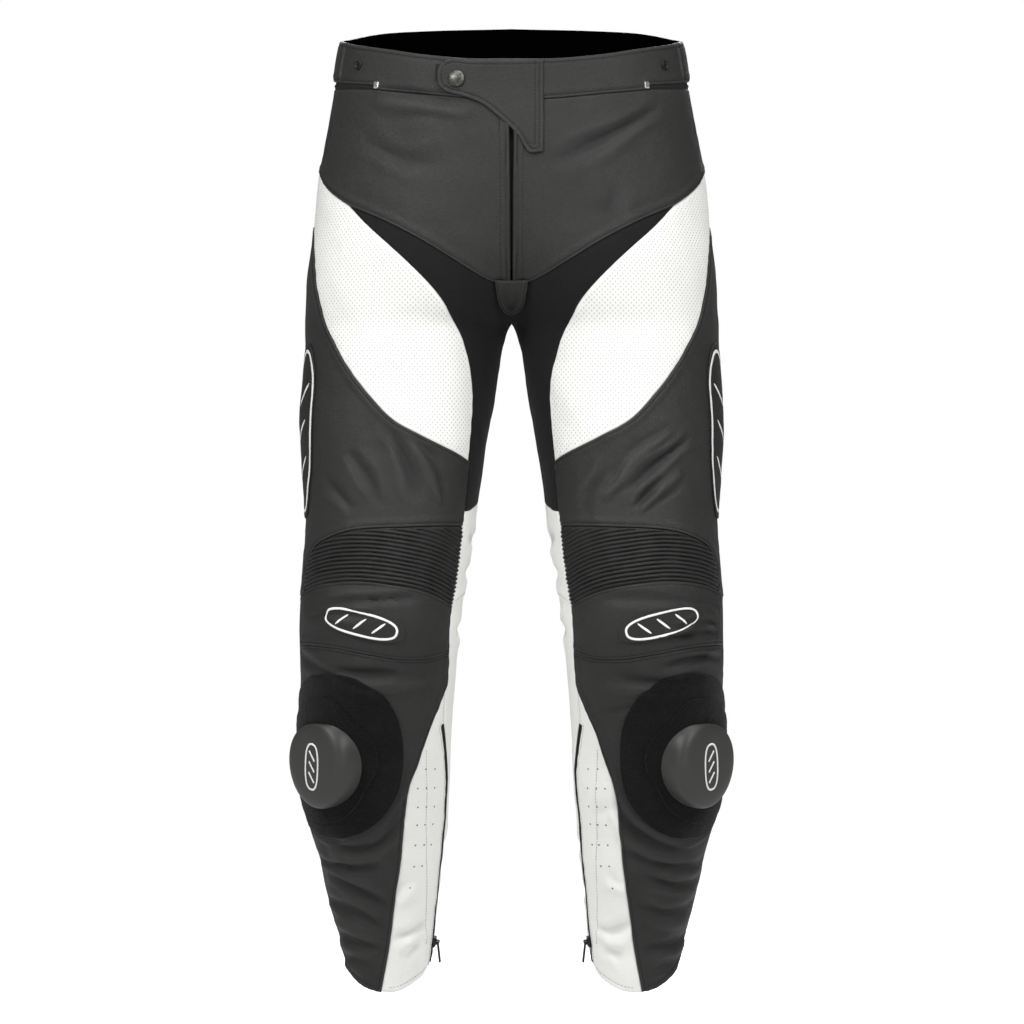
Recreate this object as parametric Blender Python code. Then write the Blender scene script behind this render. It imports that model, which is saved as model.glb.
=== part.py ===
"""Leather motorcycle trousers, filled out and held at the waist.

The garment is one hollow form, worked out from a short table of horizontal rings for one leg, and
cut into panels along named seams. A place on the form is (angle, height): the angle runs round the
leg in degrees, 0 at the outer side, 90 at the front and 180 at the inner side, with negative angles
behind, and the height is in millimetres below the waist. The other leg is its mirror image.
The wearer's left is +X, the front faces -Y, and the origin is the middle of the waist, at the height
of the rim over the hips.
"""
import math

import bmesh
import bpy
import numpy as np
from mathutils import Matrix, Vector
from mathutils.geometry import delaunay_2d_cdt

# ---------------------------------------------------------------- driving sizes, in millimetres
MM = 0.001                  # millimetres to Blender's metres
SEAM_GAP = 0.3              # between neighbours at a seam
MITRE_LIMIT = 8.0           # a sharp corner is drawn in by at most this many half gaps
LEATHER = 2.0               # cowhide with its lining cloth
WHITE_LEATHER = 1.8
STRETCH = 1.6               # woven stretch fabric
ZIP_TAPE = 1.2
LOOP_FELT = 1.6             # loop half of the knee slider's hook-and-loop fastening
BADGE = 1.0
LYING_GAP = 0.6             # under what lies on a panel, as its facets dip between their corners
CLOTH_STEP = 27.0           # side of a facet on the panels
TIGHT_STEP = 19.0           # the same along a seam that bends and twists
BAND_STEP = 14.0            # the same along the waistband, whose ends curve more
SMALL_STEP = 13.0           # the same on what lies on the panels
FLAT_PER_DEGREE = 1.7       # width of one degree when a panel is laid out flat
ROW_SHARE = 0.87            # facet rows lie this many steps apart, as in equal triangles
EDGE_SHARE = 0.55           # and keep this many steps off a panel's edge

# One leg's horizontal rings, from the waist down:
# height, outer edge x, inner edge x, middle y, depth in front, depth behind.
# An inner edge below zero is past the garment's middle plane, where the two legs run together.
RINGS = (
    (40, 172, -172, 0, 96, 100),
    (0, 178, -178, 0, 99, 103),
    (-47, 185.5, -182, 0, 105, 112),
    (-99, 194, -178, 0, 112, 124),
    (-137, 202, -162, 0, 115, 132),
    (-162, 205, -145, 0, 117, 137),
    (-193, 208, -118, 0, 118, 139),
    (-225, 212, -86, 0, 117, 137),
    (-256, 215, -51, 2, 113, 131),
    (-280, 216, -22, 3, 108, 124),
    (-298, 217, 0, 4, 104, 117),
    (-318, 217, 7.5, 1, 102, 112),
    (-350, 218, 13, -4, 98, 104),
    (-400, 220.5, 22, -12, 94, 97),
    (-450, 218, 30, -21, 90, 90),
    (-500, 215, 37, -30, 87, 83),
    (-555, 219, 45, -39, 86, 76),
    (-600, 221, 52, -43, 86, 72),
    (-634, 221, 55, -41, 86, 72),
    (-680, 221, 59.5, -28, 84, 76),
    (-744, 221, 64, -2, 80, 80),
    (-792, 219, 65.6, 20, 74, 80),
    (-823, 213.7, 69, 34, 69, 77),
    (-855, 204, 72, 48, 64, 73),
    (-902, 195, 77, 68, 57, 65),
    (-949, 182, 82, 89, 52, 58),
    (-1010, 175, 88, 116, 48, 52),
)
CROTCH = -298.0
VALLEY_START = 22.0         # the legs' overlap at which the valley between them starts to fill
VALLEY_SHARE = 0.3          # how fast it fills with the overlap
VALLEY_MAX = 14.0           # widest fill, so the fly and the seat run nearly flat across

# Edges that run round the form, as (angle, height).
RIM = ((-90, 19.3), (-64.5, 17), (-43, 13), (-14, 2.7), (0, 0), (44, -13), (63, -20.7),
       (77, -24.3), (90, -24.5))
HEM = ((-170, -943), (-150, -938), (-90, -930), (-45, -934), (-10, -947), (0, -955), (13, -972),
       (37, -989), (65, -1001), (84, -1004), (105, -1003), (129, -995), (150, -985), (166, -973),
       (180, -957), (195, -946), (210, -940))

# Corners where three or more panels meet, as (angle, height).
BAND_JOIN = (15.0, -45.5)            # waistband's front and side pieces, at its lower edge
BAND_BACK_JOIN = (-50.0, -31.0)
SIDE_BAND = (-12.0, -41.0)           # side seam under the waistband
SIDE_HIP = (-12.0, -51.0)            # top of the hip panel at the side seam
ZIP_END_TOP = (40.0, -50.3)          # front end of the zip under the waistband
ZIP_END_LOW = (40.0, -54.7)
SIDE_WHITE_TOP = (-12.0, -134.0)
SIDE_WHITE_LOW = (-12.0, -192.0)
SIDE_SEAT = (-12.0, -255.0)
HIP_TIP = (38.0, -175.0)             # hip panel, stretch panel and white panel
WHITE_TIP = (147.5, -442.0)          # lower tip of the white thigh panel
STRETCH_CORNER = (150.0, -494.0)
STRETCH_BACK = (205.0, -485.0)
RIB_INNER = (149.0, -509.0)
RIB_OUTER = (20.0, -577.0)
CUP_INNER = (151.0, -592.0)
CUP_SIDE = (8.0, -580.0)
CUP_BACK = (205.0, -580.0)
SHIN_INNER = (153.0, -640.0)
SHIN_SIDE = (11.0, -633.0)
CALF_TIP = (155.0, -674.0)
ZIP_TOP_FRONT = (151.5, -718.0)
ZIP_TOP_BACK = (156.0, -716.0)
HEM_SIDE_ANGLE = -8.0
HEM_SHIN_ANGLE = 81.0
HEM_ZIP_FRONT = 163.0
HEM_ZIP_BACK = 170.0
HEM_BACK_ANGLE = 200.0
FLY_FOOT = -262.0                    # height where hip and stretch panels meet at the middle
SEAT_FOOT = -262.0                   # the same behind
FLY_TOP = -68.0                      # lower edge of the waistband at the middle of the front
BAND_BACK_FOOT = -26.0
FLY_SLIT = 1.2                       # half width of the slit that shows the fly zip
FLY_ZIP_SIZE = (8.0, -74.0, -246.0)  # half width, top and foot of its tape
FLY_ZIP_DEPTH = 2.4                  # behind the hip panels, which bend into the valley
CROTCH_EASE = 1.4                    # the crotch tab bridges the valley this much further out

# Outlines of the flap and the tab that span the middle of the front, as (minus x, height).
FLAP_TOP_RIGHT, FLAP_LOW_RIGHT = (-33.0, -25.5), (-33.0, -122.0)
FLAP_EDGE = (FLAP_TOP_RIGHT, (0, -26.5), (40, -26.5), (66, -26), (73, -31), (76, -45), (74, -54),
             (68, -59), (52, -64), (33, -71), (12, -87), (-7, -106), (-14, -118), (-17, -122),
             FLAP_LOW_RIGHT)
TAB_LEFT, TAB_RIGHT = (-19.0, -254.0), (19.0, -254.0)
TAB_EDGE = (TAB_LEFT, (-20, -264), (-16, -274), (-9, -280), (0, -282), (9, -280), (16, -274),
            (20, -264), TAB_RIGHT)
TAB_STEP = 9.0              # side of a facet on the tab

# Knee slider and its fastening, on the outer front of the shin.
SLIDER_PLACE = (50.0, -757.0)        # angle, height
SLIDER_AIM = (50.0, 8.0)             # its face looks this far outwards and downwards, degrees
SLIDER_RADIUS = 44.0
SLIDER_HEIGHT = 20.0                 # of the face's middle, from the form
SLIDER_WALL = ((0.0, 1.0), (0.35, 1.02), (0.7, 1.0), (0.88, 0.96), (0.97, 0.89), (1.0, 0.8))
SLIDER_SIDES = 28
SHIN_PER_DEGREE = 1.42               # width of one degree on the shin under the slider
PATCH_PLACE, PATCH_SIZE = (51.5, -749.0), (61.0, 87.0)      # half sizes: degrees, millimetres
PAD_PLACE, PAD_SIZE = (44.0, -752.0), (46.0, 66.0)
KNEE_BADGE_PLACE, KNEE_BADGE_SIZE = (77.0, -610.0), (32.0, 14.0)
THIGH_BADGE_PLACE, THIGH_BADGE_SIZE = (13.0, -410.0), (17.0, 92.0)

# Hard fittings.
FLAP_SNAP_PLACE, FLAP_SNAP_RADIUS, FLAP_SNAP_HEIGHT = (-56.5, -46.0), 8.6, 3.4    # x, height
BAND_SNAP_PLACE, BAND_SNAP_RADIUS, BAND_SNAP_HEIGHT = (29.4, -29.0), 5.0, 1.6     # angle, height
WAIST_SLIDER_PLACE, WAIST_SLIDER_SIZE = (41.5, -50.5), (6.0, 7.5, 2.6)
ANKLE_SLIDER_PLACE, ANKLE_SLIDER_SIZE = (168.0, -950.0), (7.0, 11.0, 2.4)
EAR_SPACING, EAR_THICKNESS, EAR_HEIGHT, EAR_LENGTH = 3.8, 1.2, 4.0, 3.6
PIN_RADIUS, PIN_RISE = 0.6, 2.4
PULL_WIDTH, PULL_THICKNESS, PULL_LENGTH = 3.0, 1.6, 25.0
EYE_RADIUS, EYE_OUTER = 0.95, 1.9


# ---------------------------------------------------------------- the form
def smooth_rows(table, at):
    """Read a table at the given first-column values by a cubic through its rows."""
    rows = np.array(table, float)
    rows = rows[np.argsort(rows[:, 0])]
    keys, values = rows[:, 0], rows[:, 1:]
    slopes = np.gradient(values, keys, axis=0)
    at = np.clip(np.atleast_1d(np.asarray(at, float)), keys[0], keys[-1])
    low = np.clip(np.searchsorted(keys, at) - 1, 0, len(keys) - 2)
    span = (keys[low + 1] - keys[low])[:, None]
    t = ((at - keys[low]) / span[:, 0])[:, None]
    start, end = values[low], values[low + 1]
    return (start * (1 + 2 * t) * (1 - t) ** 2 + slopes[low] * span * t * (1 - t) ** 2
            + end * t * t * (3 - 2 * t) + slopes[low + 1] * span * t * t * (t - 1))


def ring_shape(height):
    """Middle x, half width, middle y, front and back depth, and valley fill at each height."""
    outer, inner, middle_y, front, back = smooth_rows(RINGS, height).T
    overlap = np.maximum(0.0, -inner - VALLEY_START)
    fill = np.minimum(VALLEY_MAX, VALLEY_SHARE * overlap) + 1e-6
    return (outer + inner) / 2, (outer - inner) / 2, middle_y, front, back, fill


def form_points(places):
    """Points of the left half of the form at (angle, height) places."""
    places = np.asarray(places, float)
    middle_x, half, middle_y, front, back, fill = ring_shape(places[:, 1])
    angle = np.radians(places[:, 0])
    x = middle_x + half * np.cos(angle)
    eased = np.cos(angle) + fill / half * np.exp(-np.maximum(x, 0.0) / fill)
    depth = np.sqrt(np.maximum(0.0, 1 - np.clip(eased, -1, 1) ** 2))
    y = middle_y + np.where(np.sin(angle) >= 0, -front, back) * depth
    return np.column_stack((x, y, places[:, 1]))


def form_frame(places, mapping=form_points, nudge=(0.4, 0.6)):
    """Points and outward unit normals of a mapped surface, by small differences."""
    places = np.asarray(places, float)
    across, up = np.array((nudge[0], 0.0)), np.array((0.0, nudge[1]))
    around = mapping(places + across) - mapping(places - across)
    rising = mapping(places + up) - mapping(places - up)
    normal = np.cross(rising, around)
    normal /= np.linalg.norm(normal, axis=1)[:, None]
    return mapping(places), normal


def middle_angle(height, x=0.0):
    """Angle at which the front of the ring at a height stands x from the middle plane."""
    middle_x, half = ring_shape(height)[:2]
    return float(np.degrees(np.arccos(np.clip((x - middle_x[0]) / half[0], -1, 1))))


def across_points(places):
    """Points of the whole front at (minus x, height) places, for pieces that span the middle.

    The first coordinate runs the way the angle does, towards the wearer's right.
    """
    places = np.asarray(places, float)
    middle_x, half = ring_shape(places[:, 1])[:2]
    sideways = np.abs(places[:, 0])
    angle = np.degrees(np.arccos(np.clip((sideways - middle_x) / half, -1, 1)))
    points = form_points(np.column_stack((angle, places[:, 1])))
    points[:, 0] = -places[:, 0]
    return points


# ---------------------------------------------------------------- seams
def through(points, step=CLOTH_STEP, unit=FLAT_PER_DEGREE):
    """A smooth line through a few points, with its own points a step apart."""
    points = np.array(points, float)
    flat = points * (unit, 1.0)
    lengths = np.concatenate(([0.0], np.cumsum(np.linalg.norm(np.diff(flat, axis=0), axis=1))))
    count = max(2, round(lengths[-1] / step) + 1)
    if len(points) == 2:
        return points[0] + np.linspace(0, 1, count)[:, None] * (points[1] - points[0])
    table = np.column_stack((lengths, points))
    line = smooth_rows(table, np.linspace(0, lengths[-1], count))
    line[0], line[-1] = points[0], points[-1]
    return line


def edge_height(table, angle):
    """Height of the rim or the hem at an angle."""
    return float(smooth_rows(table, angle)[0, 0])


def round_edge(table, start, end, step=CLOTH_STEP):
    """A stretch of the rim or the hem between two angles."""
    middle = [row[0] for row in table if min(start, end) + 6 < row[0] < max(start, end) - 6]
    angles = [start] + sorted(middle, reverse=start > end) + [end]
    return through([(angle, edge_height(table, angle)) for angle in angles], step)


def middle_line(top, foot, side=1, x=0.0, turn=0.0):
    """A line down the middle plane in front (side 1) or behind (side -1)."""
    heights = np.linspace(top, foot, max(2, round(abs(top - foot) / CLOTH_STEP) + 1))
    return np.array([(side * middle_angle(height, x) + turn, height) for height in heights])


def fly_edge():
    """The hip panel's edge at the fly: it leaves the middle and runs beside the slit."""
    slit = middle_line(FLY_TOP - 8, FLY_FOOT + 6, x=FLY_SLIT)
    ends = [(middle_angle(height), height) for height in (FLY_TOP, FLY_FOOT)]
    return np.vstack((ends[0], slit, ends[1]))


def crotch_line():
    """The stretch panel's edge in the middle plane, from the fly under the crotch to the seat."""
    front = middle_line(FLY_FOOT, CROTCH + 8)
    behind = middle_line(CROTCH + 8, SEAT_FOOT, side=-1, turn=360.0)
    return np.vstack((front, ((180.0, CROTCH),), behind))


def hem_place(angle):
    """A place on the hem."""
    return angle, edge_height(HEM, angle)


def make_seams():
    """Every seam once, from named corner to named corner, shared by the panels beside it."""
    rim_side = (BAND_JOIN[0], edge_height(RIM, BAND_JOIN[0]))
    rim_back = (BAND_BACK_JOIN[0], edge_height(RIM, BAND_BACK_JOIN[0]))
    fly_top = (middle_angle(FLY_TOP), FLY_TOP)
    fly_foot = (middle_angle(FLY_FOOT), FLY_FOOT)
    seat_top = (-middle_angle(BAND_BACK_FOOT), BAND_BACK_FOOT)
    seat_foot = (-middle_angle(SEAT_FOOT), SEAT_FOOT)
    seat_foot_inside = (360 + seat_foot[0], SEAT_FOOT)
    return {
        # waistband
        "rim_front": round_edge(RIM, 90, BAND_JOIN[0], BAND_STEP),
        "rim_side": round_edge(RIM, BAND_JOIN[0], BAND_BACK_JOIN[0], BAND_STEP),
        "rim_back": round_edge(RIM, BAND_BACK_JOIN[0], -90, BAND_STEP),
        "band_front_end": middle_line(edge_height(RIM, 90), FLY_TOP),
        "band_side_join": through((rim_side, BAND_JOIN)),
        "band_back_join": through((rim_back, BAND_BACK_JOIN)),
        "band_back_end": middle_line(edge_height(RIM, -90), BAND_BACK_FOOT, side=-1),
        "band_foot_front": through((fly_top, (80, -66.5), (60, -60.5), ZIP_END_LOW), BAND_STEP),
        "zip_end": through((ZIP_END_LOW, ZIP_END_TOP)),
        "band_foot_zip": through((ZIP_END_TOP, BAND_JOIN), BAND_STEP),
        "band_foot_side": through((BAND_JOIN, (0, -43.5), SIDE_BAND), BAND_STEP),
        "band_foot_hip": through((SIDE_BAND, (-30, -36.5), BAND_BACK_JOIN), BAND_STEP),
        "band_foot_back": through((BAND_BACK_JOIN, (-70, -27.5), seat_top), BAND_STEP),
        "zip_foot": through((ZIP_END_LOW, (15, -52.3), SIDE_HIP), BAND_STEP),
        "zip_side": through((SIDE_BAND, SIDE_HIP)),
        # side seam, downwards
        "side_hip": through((SIDE_HIP, SIDE_WHITE_TOP)),
        "side_white": through((SIDE_WHITE_TOP, SIDE_WHITE_LOW)),
        "side_seat": through((SIDE_WHITE_LOW, SIDE_SEAT)),
        "side_thigh": through((SIDE_SEAT, (-12, -340), (-12, -430), (-8, -480), (0, -530),
                               CUP_SIDE)),
        "side_cup": through((CUP_SIDE, SHIN_SIDE)),
        "side_shin": through((SHIN_SIDE, (2, -670), (-12, -720), (-15, -780), (-12, -860),
                              hem_place(HEM_SIDE_ANGLE))),
        # hip and thigh
        "fly_edge": fly_edge(),
        "hip_side": through((SIDE_WHITE_TOP, (0, -138), (9, -143), (17, -152), (25, -161),
                             HIP_TIP)),
        "hip_low": through((HIP_TIP, (56, -191), (76, -213), (92, -232), (115, -254), fly_foot)),
        "white_inner": through((HIP_TIP, (48, -193), (64, -219), (83, -249), (99, -272),
                                (116, -299), (128, -326), (137, -362), (144, -405), WHITE_TIP),
                               TIGHT_STEP),
        "white_outer": through((SIDE_WHITE_LOW, (4, -199), (16, -227), (25, -262), (33, -287),
                                (44, -313), (57, -343), (74, -375), (90, -400), (107, -415),
                                WHITE_TIP)),
        "stretch_front": through((WHITE_TIP, (149, -465), STRETCH_CORNER)),
        "crotch": crotch_line(),
        "stretch_back": through((seat_foot_inside, (221, -287), (211, -325), (206, -385),
                                 STRETCH_BACK)),
        "stretch_hem": through((STRETCH_CORNER, (158, -493), (167, -489), (182, -486),
                                STRETCH_BACK)),
        "knee_white_front": through((STRETCH_CORNER, RIB_INNER)),
        # behind
        "seat_middle": middle_line(BAND_BACK_FOOT, SEAT_FOOT, side=-1),
        "seat_low": through((seat_foot, (-115, -284), (-90, -297), (-60, -291), (-30, -270),
                             SIDE_SEAT)),
        "knee_white_back": through((STRETCH_BACK, CUP_BACK)),
        "calf_white_back": through((CUP_BACK, (204, -700), (203, -820),
                                    hem_place(HEM_BACK_ANGLE))),
        "knee_back": through((CUP_SIDE, (-30, -592), (-90, -600), (-130, -592),
                              (CUP_BACK[0] - 360, CUP_BACK[1]))),
        # knee
        "rib_top": through((RIB_INNER, (125, -509), (102, -510), (81, -511), (63, -514),
                            (44, -522), (30, -531), (22, -546), (19, -562), RIB_OUTER)),
        "rib_inner": through((RIB_INNER, (151, -542), (152, -568), CUP_INNER)),
        "cup_top": through((RIB_OUTER, (45, -569), (71, -566), (98, -570), (122, -577),
                            CUP_INNER)),
        "cup_corner": through((RIB_OUTER, CUP_SIDE)),
        "cup_inner": through((CUP_INNER, (152, -615), SHIN_INNER)),
        "cup_low": through((SHIN_SIDE, (32, -633), (59, -636), (83, -642), (107, -647),
                            (133, -646), SHIN_INNER)),
        # shin and calf
        "knee_white_low": through((CUP_INNER, (165, -585), (182, -581), CUP_BACK)),
        "shin_top": through((SHIN_INNER, CALF_TIP)),
        "shin_inner": through((CALF_TIP, (147, -694), (135, -724), (127, -752), (117, -786),
                               (114, -815), (112, -836), (109, -862), (104, -901), (96, -941),
                               hem_place(HEM_SHIN_ANGLE))),
        "calf_seam": through((CALF_TIP, ZIP_TOP_BACK)),
        "zip_top": through((ZIP_TOP_BACK, ZIP_TOP_FRONT)),
        "zip_front": through((ZIP_TOP_FRONT, (156, -745), (161.5, -775), (165, -810),
                              (166.5, -860), (166.5, -920), (164.5, -950),
                              hem_place(HEM_ZIP_FRONT))),
        "zip_back": through((ZIP_TOP_BACK, (160.5, -745), (166, -775), (170, -810),
                             (172, -860), (172.5, -920), (171, -950),
                             hem_place(HEM_ZIP_BACK))),
        "hem_shin": round_edge(HEM, HEM_SIDE_ANGLE, HEM_SHIN_ANGLE),
        "hem_calf": round_edge(HEM, HEM_SHIN_ANGLE, HEM_ZIP_FRONT),
        "hem_zip": round_edge(HEM, HEM_ZIP_FRONT, HEM_ZIP_BACK),
        "hem_inside": round_edge(HEM, HEM_ZIP_BACK, HEM_BACK_ANGLE),
        "hem_back": round_edge(HEM, HEM_BACK_ANGLE - 360, HEM_SIDE_ANGLE),
    }


# Panels of one half: name, material, thickness, and the seams round it. A minus sign runs a seam
# backwards, and a tilde moves a seam by a full turn, where a panel reaches round behind.
PANELS = (
    ("band_front", "black_leather", LEATHER,
     "rim_front band_side_join -band_foot_zip -zip_end -band_foot_front -band_front_end"),
    ("band_side", "black_leather", LEATHER,
     "rim_side band_back_join -band_foot_hip -band_foot_side -band_side_join"),
    ("band_back", "black_leather", LEATHER,
     "rim_back band_back_end -band_foot_back -band_back_join"),
    ("waist_zip", "zip_tape", ZIP_TAPE,
     "zip_end band_foot_zip band_foot_side zip_side -zip_foot"),
    ("hip_front", "black_leather", LEATHER,
     "band_foot_front zip_foot side_hip hip_side hip_low -fly_edge"),
    ("thigh_white", "white_leather", WHITE_LEATHER,
     "hip_side white_inner -white_outer -side_white"),
    ("inner_stretch", "stretch_fabric", STRETCH,
     "hip_low crotch stretch_back -stretch_hem -stretch_front -white_inner"),
    ("thigh_outer", "black_leather", LEATHER,
     "white_outer stretch_front knee_white_front rib_top cup_corner -side_thigh -side_seat"),
    ("seat", "black_leather", LEATHER,
     "band_foot_hip band_foot_back seat_middle seat_low -side_seat -side_white -side_hip -zip_side"),
    ("thigh_back", "black_leather", LEATHER,
     "-seat_low ~stretch_back ~knee_white_back -knee_back -side_thigh"),
    ("knee_ribs", "black_leather", LEATHER, "rib_top cup_top -rib_inner"),
    ("knee_cup", "black_leather", LEATHER, "cup_top cup_inner -cup_low -side_cup -cup_corner"),
    ("knee_white", "white_leather", WHITE_LEATHER,
     "stretch_hem knee_white_back -knee_white_low -rib_inner -knee_white_front"),
    ("shin_front", "black_leather", LEATHER,
     "cup_low shin_top shin_inner -hem_shin -side_shin"),
    ("calf_white", "white_leather", WHITE_LEATHER,
     "calf_seam zip_top zip_front -hem_calf -shin_inner"),
    ("calf_side_white", "white_leather", WHITE_LEATHER,
     "knee_white_low calf_white_back -hem_inside -zip_back -calf_seam -shin_top -cup_inner"),
    ("ankle_zip", "zip_tape", ZIP_TAPE, "zip_top zip_front hem_zip -zip_back"),
    ("calf_back", "black_leather", LEATHER,
     "knee_back ~calf_white_back hem_back -side_shin -side_cup"),
)


def outline_of(seams, route):
    """The closed outline of a panel, seam after seam, without its doubled corners."""
    stretches = []
    for word in route.split():
        line = seams[word.lstrip("-~")]
        line = line[::-1] if word.startswith("-") else line
        line = line - (360.0, 0.0) if word.startswith("~") else line
        stretches.append(line[:-1])
    return np.vstack(stretches)


# ---------------------------------------------------------------- cloth solids
def signed_area(loop):
    """Area of a flat loop, positive when it runs anticlockwise."""
    after = np.roll(loop, -1, axis=0)
    return 0.5 * float(np.sum(loop[:, 0] * after[:, 1] - after[:, 0] * loop[:, 1]))


def inside_points(loop, step):
    """A staggered grid of points inside a flat loop, clear of its edge."""
    low, high = loop.min(axis=0), loop.max(axis=0)
    rows = np.arange(low[1] + step / 2, high[1], step * ROW_SHARE)
    columns = np.arange(low[0], high[0], step)
    grid = np.stack(np.meshgrid(columns, rows), axis=-1)
    grid[1::2, :, 0] += step / 2
    grid = grid.reshape(-1, 2)
    start, end = loop, np.roll(loop, -1, axis=0)
    run = end - start
    crossing = (start[None, :, 1] > grid[:, None, 1]) != (end[None, :, 1] > grid[:, None, 1])
    rise = np.where(np.abs(run[:, 1]) < 1e-9, 1e-9, run[:, 1])
    reach = start[None, :, 0] + (grid[:, None, 1] - start[None, :, 1]) / rise * run[:, 0]
    within = (crossing & (grid[:, None, 0] < reach)).sum(axis=1) % 2 == 1
    share = ((grid[:, None] - start[None]) * run).sum(axis=2) / (run ** 2).sum(axis=1)
    nearest = start[None] + np.clip(share, 0, 1)[..., None] * run
    clear = np.linalg.norm(grid[:, None] - nearest, axis=2).min(axis=1) > EDGE_SHARE * step
    return grid[within & clear]


def drawn_in(points, normals, amount):
    """Move a closed outline of surface points in towards its panel by an amount."""
    ahead = np.roll(points, -1, axis=0) - points
    ahead /= np.linalg.norm(ahead, axis=1)[:, None]
    inward_next = np.cross(ahead, normals)
    inward_last = np.cross(np.roll(ahead, 1, axis=0), normals)
    blend = inward_next + inward_last
    share = 1 + (inward_next * inward_last).sum(axis=1)
    move = amount * blend / np.maximum(share, 1e-3)[:, None]
    size = np.linalg.norm(move, axis=1)
    limit = MITRE_LIMIT * amount
    return points + move * np.minimum(1, limit / np.maximum(size, 1e-9))[:, None]


def cloth_mesh(name, outline, thickness, lift=0.0, mapping=form_points, unit=FLAT_PER_DEGREE,
               step=CLOTH_STEP, inset=SEAM_GAP / 2, side=1):
    """A cloth wall: the outline filled on the form, then extruded inwards along its normals."""
    if signed_area(outline * (unit, 1.0)) < 0:
        outline = outline[::-1]
    inner = inside_points(outline * (unit, 1.0), step) / (unit, 1.0)
    places = np.vstack((outline, inner))
    flat = [Vector(place) for place in places * (unit, 1.0)]
    filled = delaunay_2d_cdt(flat, [], [list(range(len(outline)))], 1, 1e-5)
    faces, sources = filled[2], filled[3]
    if any(not source for source in sources):
        raise ValueError(name + ": its outline crosses itself")
    order = [source[0] for source in sources]
    points, normals = form_frame(places, mapping)
    count = len(outline)
    points[:count] = drawn_in(points[:count], normals[:count], inset)
    outer = points + normals * lift
    flip = np.array((side, 1, 1))
    mesh_data = bmesh.new()
    verts = [mesh_data.verts.new(outer[i] * flip * MM) for i in order]
    for face in faces:
        mesh_data.faces.new([verts[i] for i in face])
    wall = bmesh.ops.extrude_face_region(mesh_data, geom=mesh_data.faces[:])
    new_verts = [item for item in wall["geom"] if isinstance(item, bmesh.types.BMVert)]
    place_of = {tuple(np.round(vert.co, 7)): i for vert, i in zip(verts, order)}
    for vert in new_verts:
        source = place_of[tuple(np.round(vert.co, 7))]
        vert.co -= Vector(normals[source] * flip * thickness * MM)
    bmesh.ops.recalc_face_normals(mesh_data, faces=mesh_data.faces[:])
    mesh = bpy.data.meshes.new(name)
    mesh_data.to_mesh(mesh)
    mesh_data.free()
    return mesh


def oval(place, size, power=2.0, tilt=0.0, step=SMALL_STEP, unit=FLAT_PER_DEGREE):
    """A rounded outline on the form: a superellipse, tilted in the flat by some degrees."""
    length = 2 * math.pi * max(size[0] * unit, size[1]) * 0.8
    turn = np.linspace(0, 2 * math.pi, max(12, round(length / step)), endpoint=False)
    across = np.sign(np.cos(turn)) * np.abs(np.cos(turn)) ** (2 / power) * size[0] * unit
    up = np.sign(np.sin(turn)) * np.abs(np.sin(turn)) ** (2 / power) * size[1]
    lean = math.radians(tilt)
    return np.column_stack(((across * math.cos(lean) - up * math.sin(lean)) / unit + place[0],
                            across * math.sin(lean) + up * math.cos(lean) + place[1]))


# ---------------------------------------------------------------- objects and materials
# name: base colour (linear), roughness, metallic
FINISHES = {
    "black_leather": ((0.055, 0.055, 0.052), 0.55, 0.0),
    "white_leather": ((0.86, 0.86, 0.84), 0.5, 0.0),
    "stretch_fabric": ((0.018, 0.018, 0.018), 0.9, 0.0),
    "zip_tape": ((0.012, 0.012, 0.012), 0.8, 0.0),
    "loop_felt": ((0.012, 0.012, 0.012), 0.95, 0.0),
    "slider_plastic": ((0.045, 0.045, 0.043), 0.45, 0.0),
    "badge": ((0.05, 0.05, 0.048), 0.6, 0.0),
    "dark_metal": ((0.09, 0.09, 0.08), 0.35, 0.9),
    "bright_metal": ((0.6, 0.6, 0.6), 0.25, 1.0),
}


def clear_scene():
    """Remove every object of the open file."""
    for thing in list(bpy.data.objects):
        bpy.data.objects.remove(thing, do_unlink=True)


def make_finishes():
    """One Principled material for each finish."""
    made = {}
    for name, (colour, roughness, metallic) in FINISHES.items():
        material = bpy.data.materials.new(name)
        material.use_nodes = True
        shader = material.node_tree.nodes["Principled BSDF"]
        shader.inputs["Base Color"].default_value = (*colour, 1.0)
        shader.inputs["Roughness"].default_value = roughness
        shader.inputs["Metallic"].default_value = metallic
        made[name] = material
    return made


class Workshop:
    """The garment's collection, its materials, and one call that adds a finished piece."""

    def __init__(self):
        self.collection = bpy.data.collections.new("motorcycle_trousers")
        self.cutters = bpy.data.collections.new("cutters")
        for collection in (self.collection, self.cutters):
            bpy.context.scene.collection.children.link(collection)
        self.finishes = make_finishes()

    def add(self, name, mesh, finish):
        """Add a mesh as a named piece with its finish."""
        mesh.materials.append(self.finishes[finish])
        piece = bpy.data.objects.new(name, mesh)
        self.collection.objects.link(piece)
        return piece


SIDES = (("left", 1), ("right", -1))       # the wearer's


def add_panels(shop):
    """The panels of both halves."""
    seams = make_seams()
    for name, finish, thickness, route in PANELS:
        outline = outline_of(seams, route)
        for word, side in SIDES:
            label = name + "_" + word
            shop.add(label, cloth_mesh(label, outline, thickness, side=side), finish)


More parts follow.
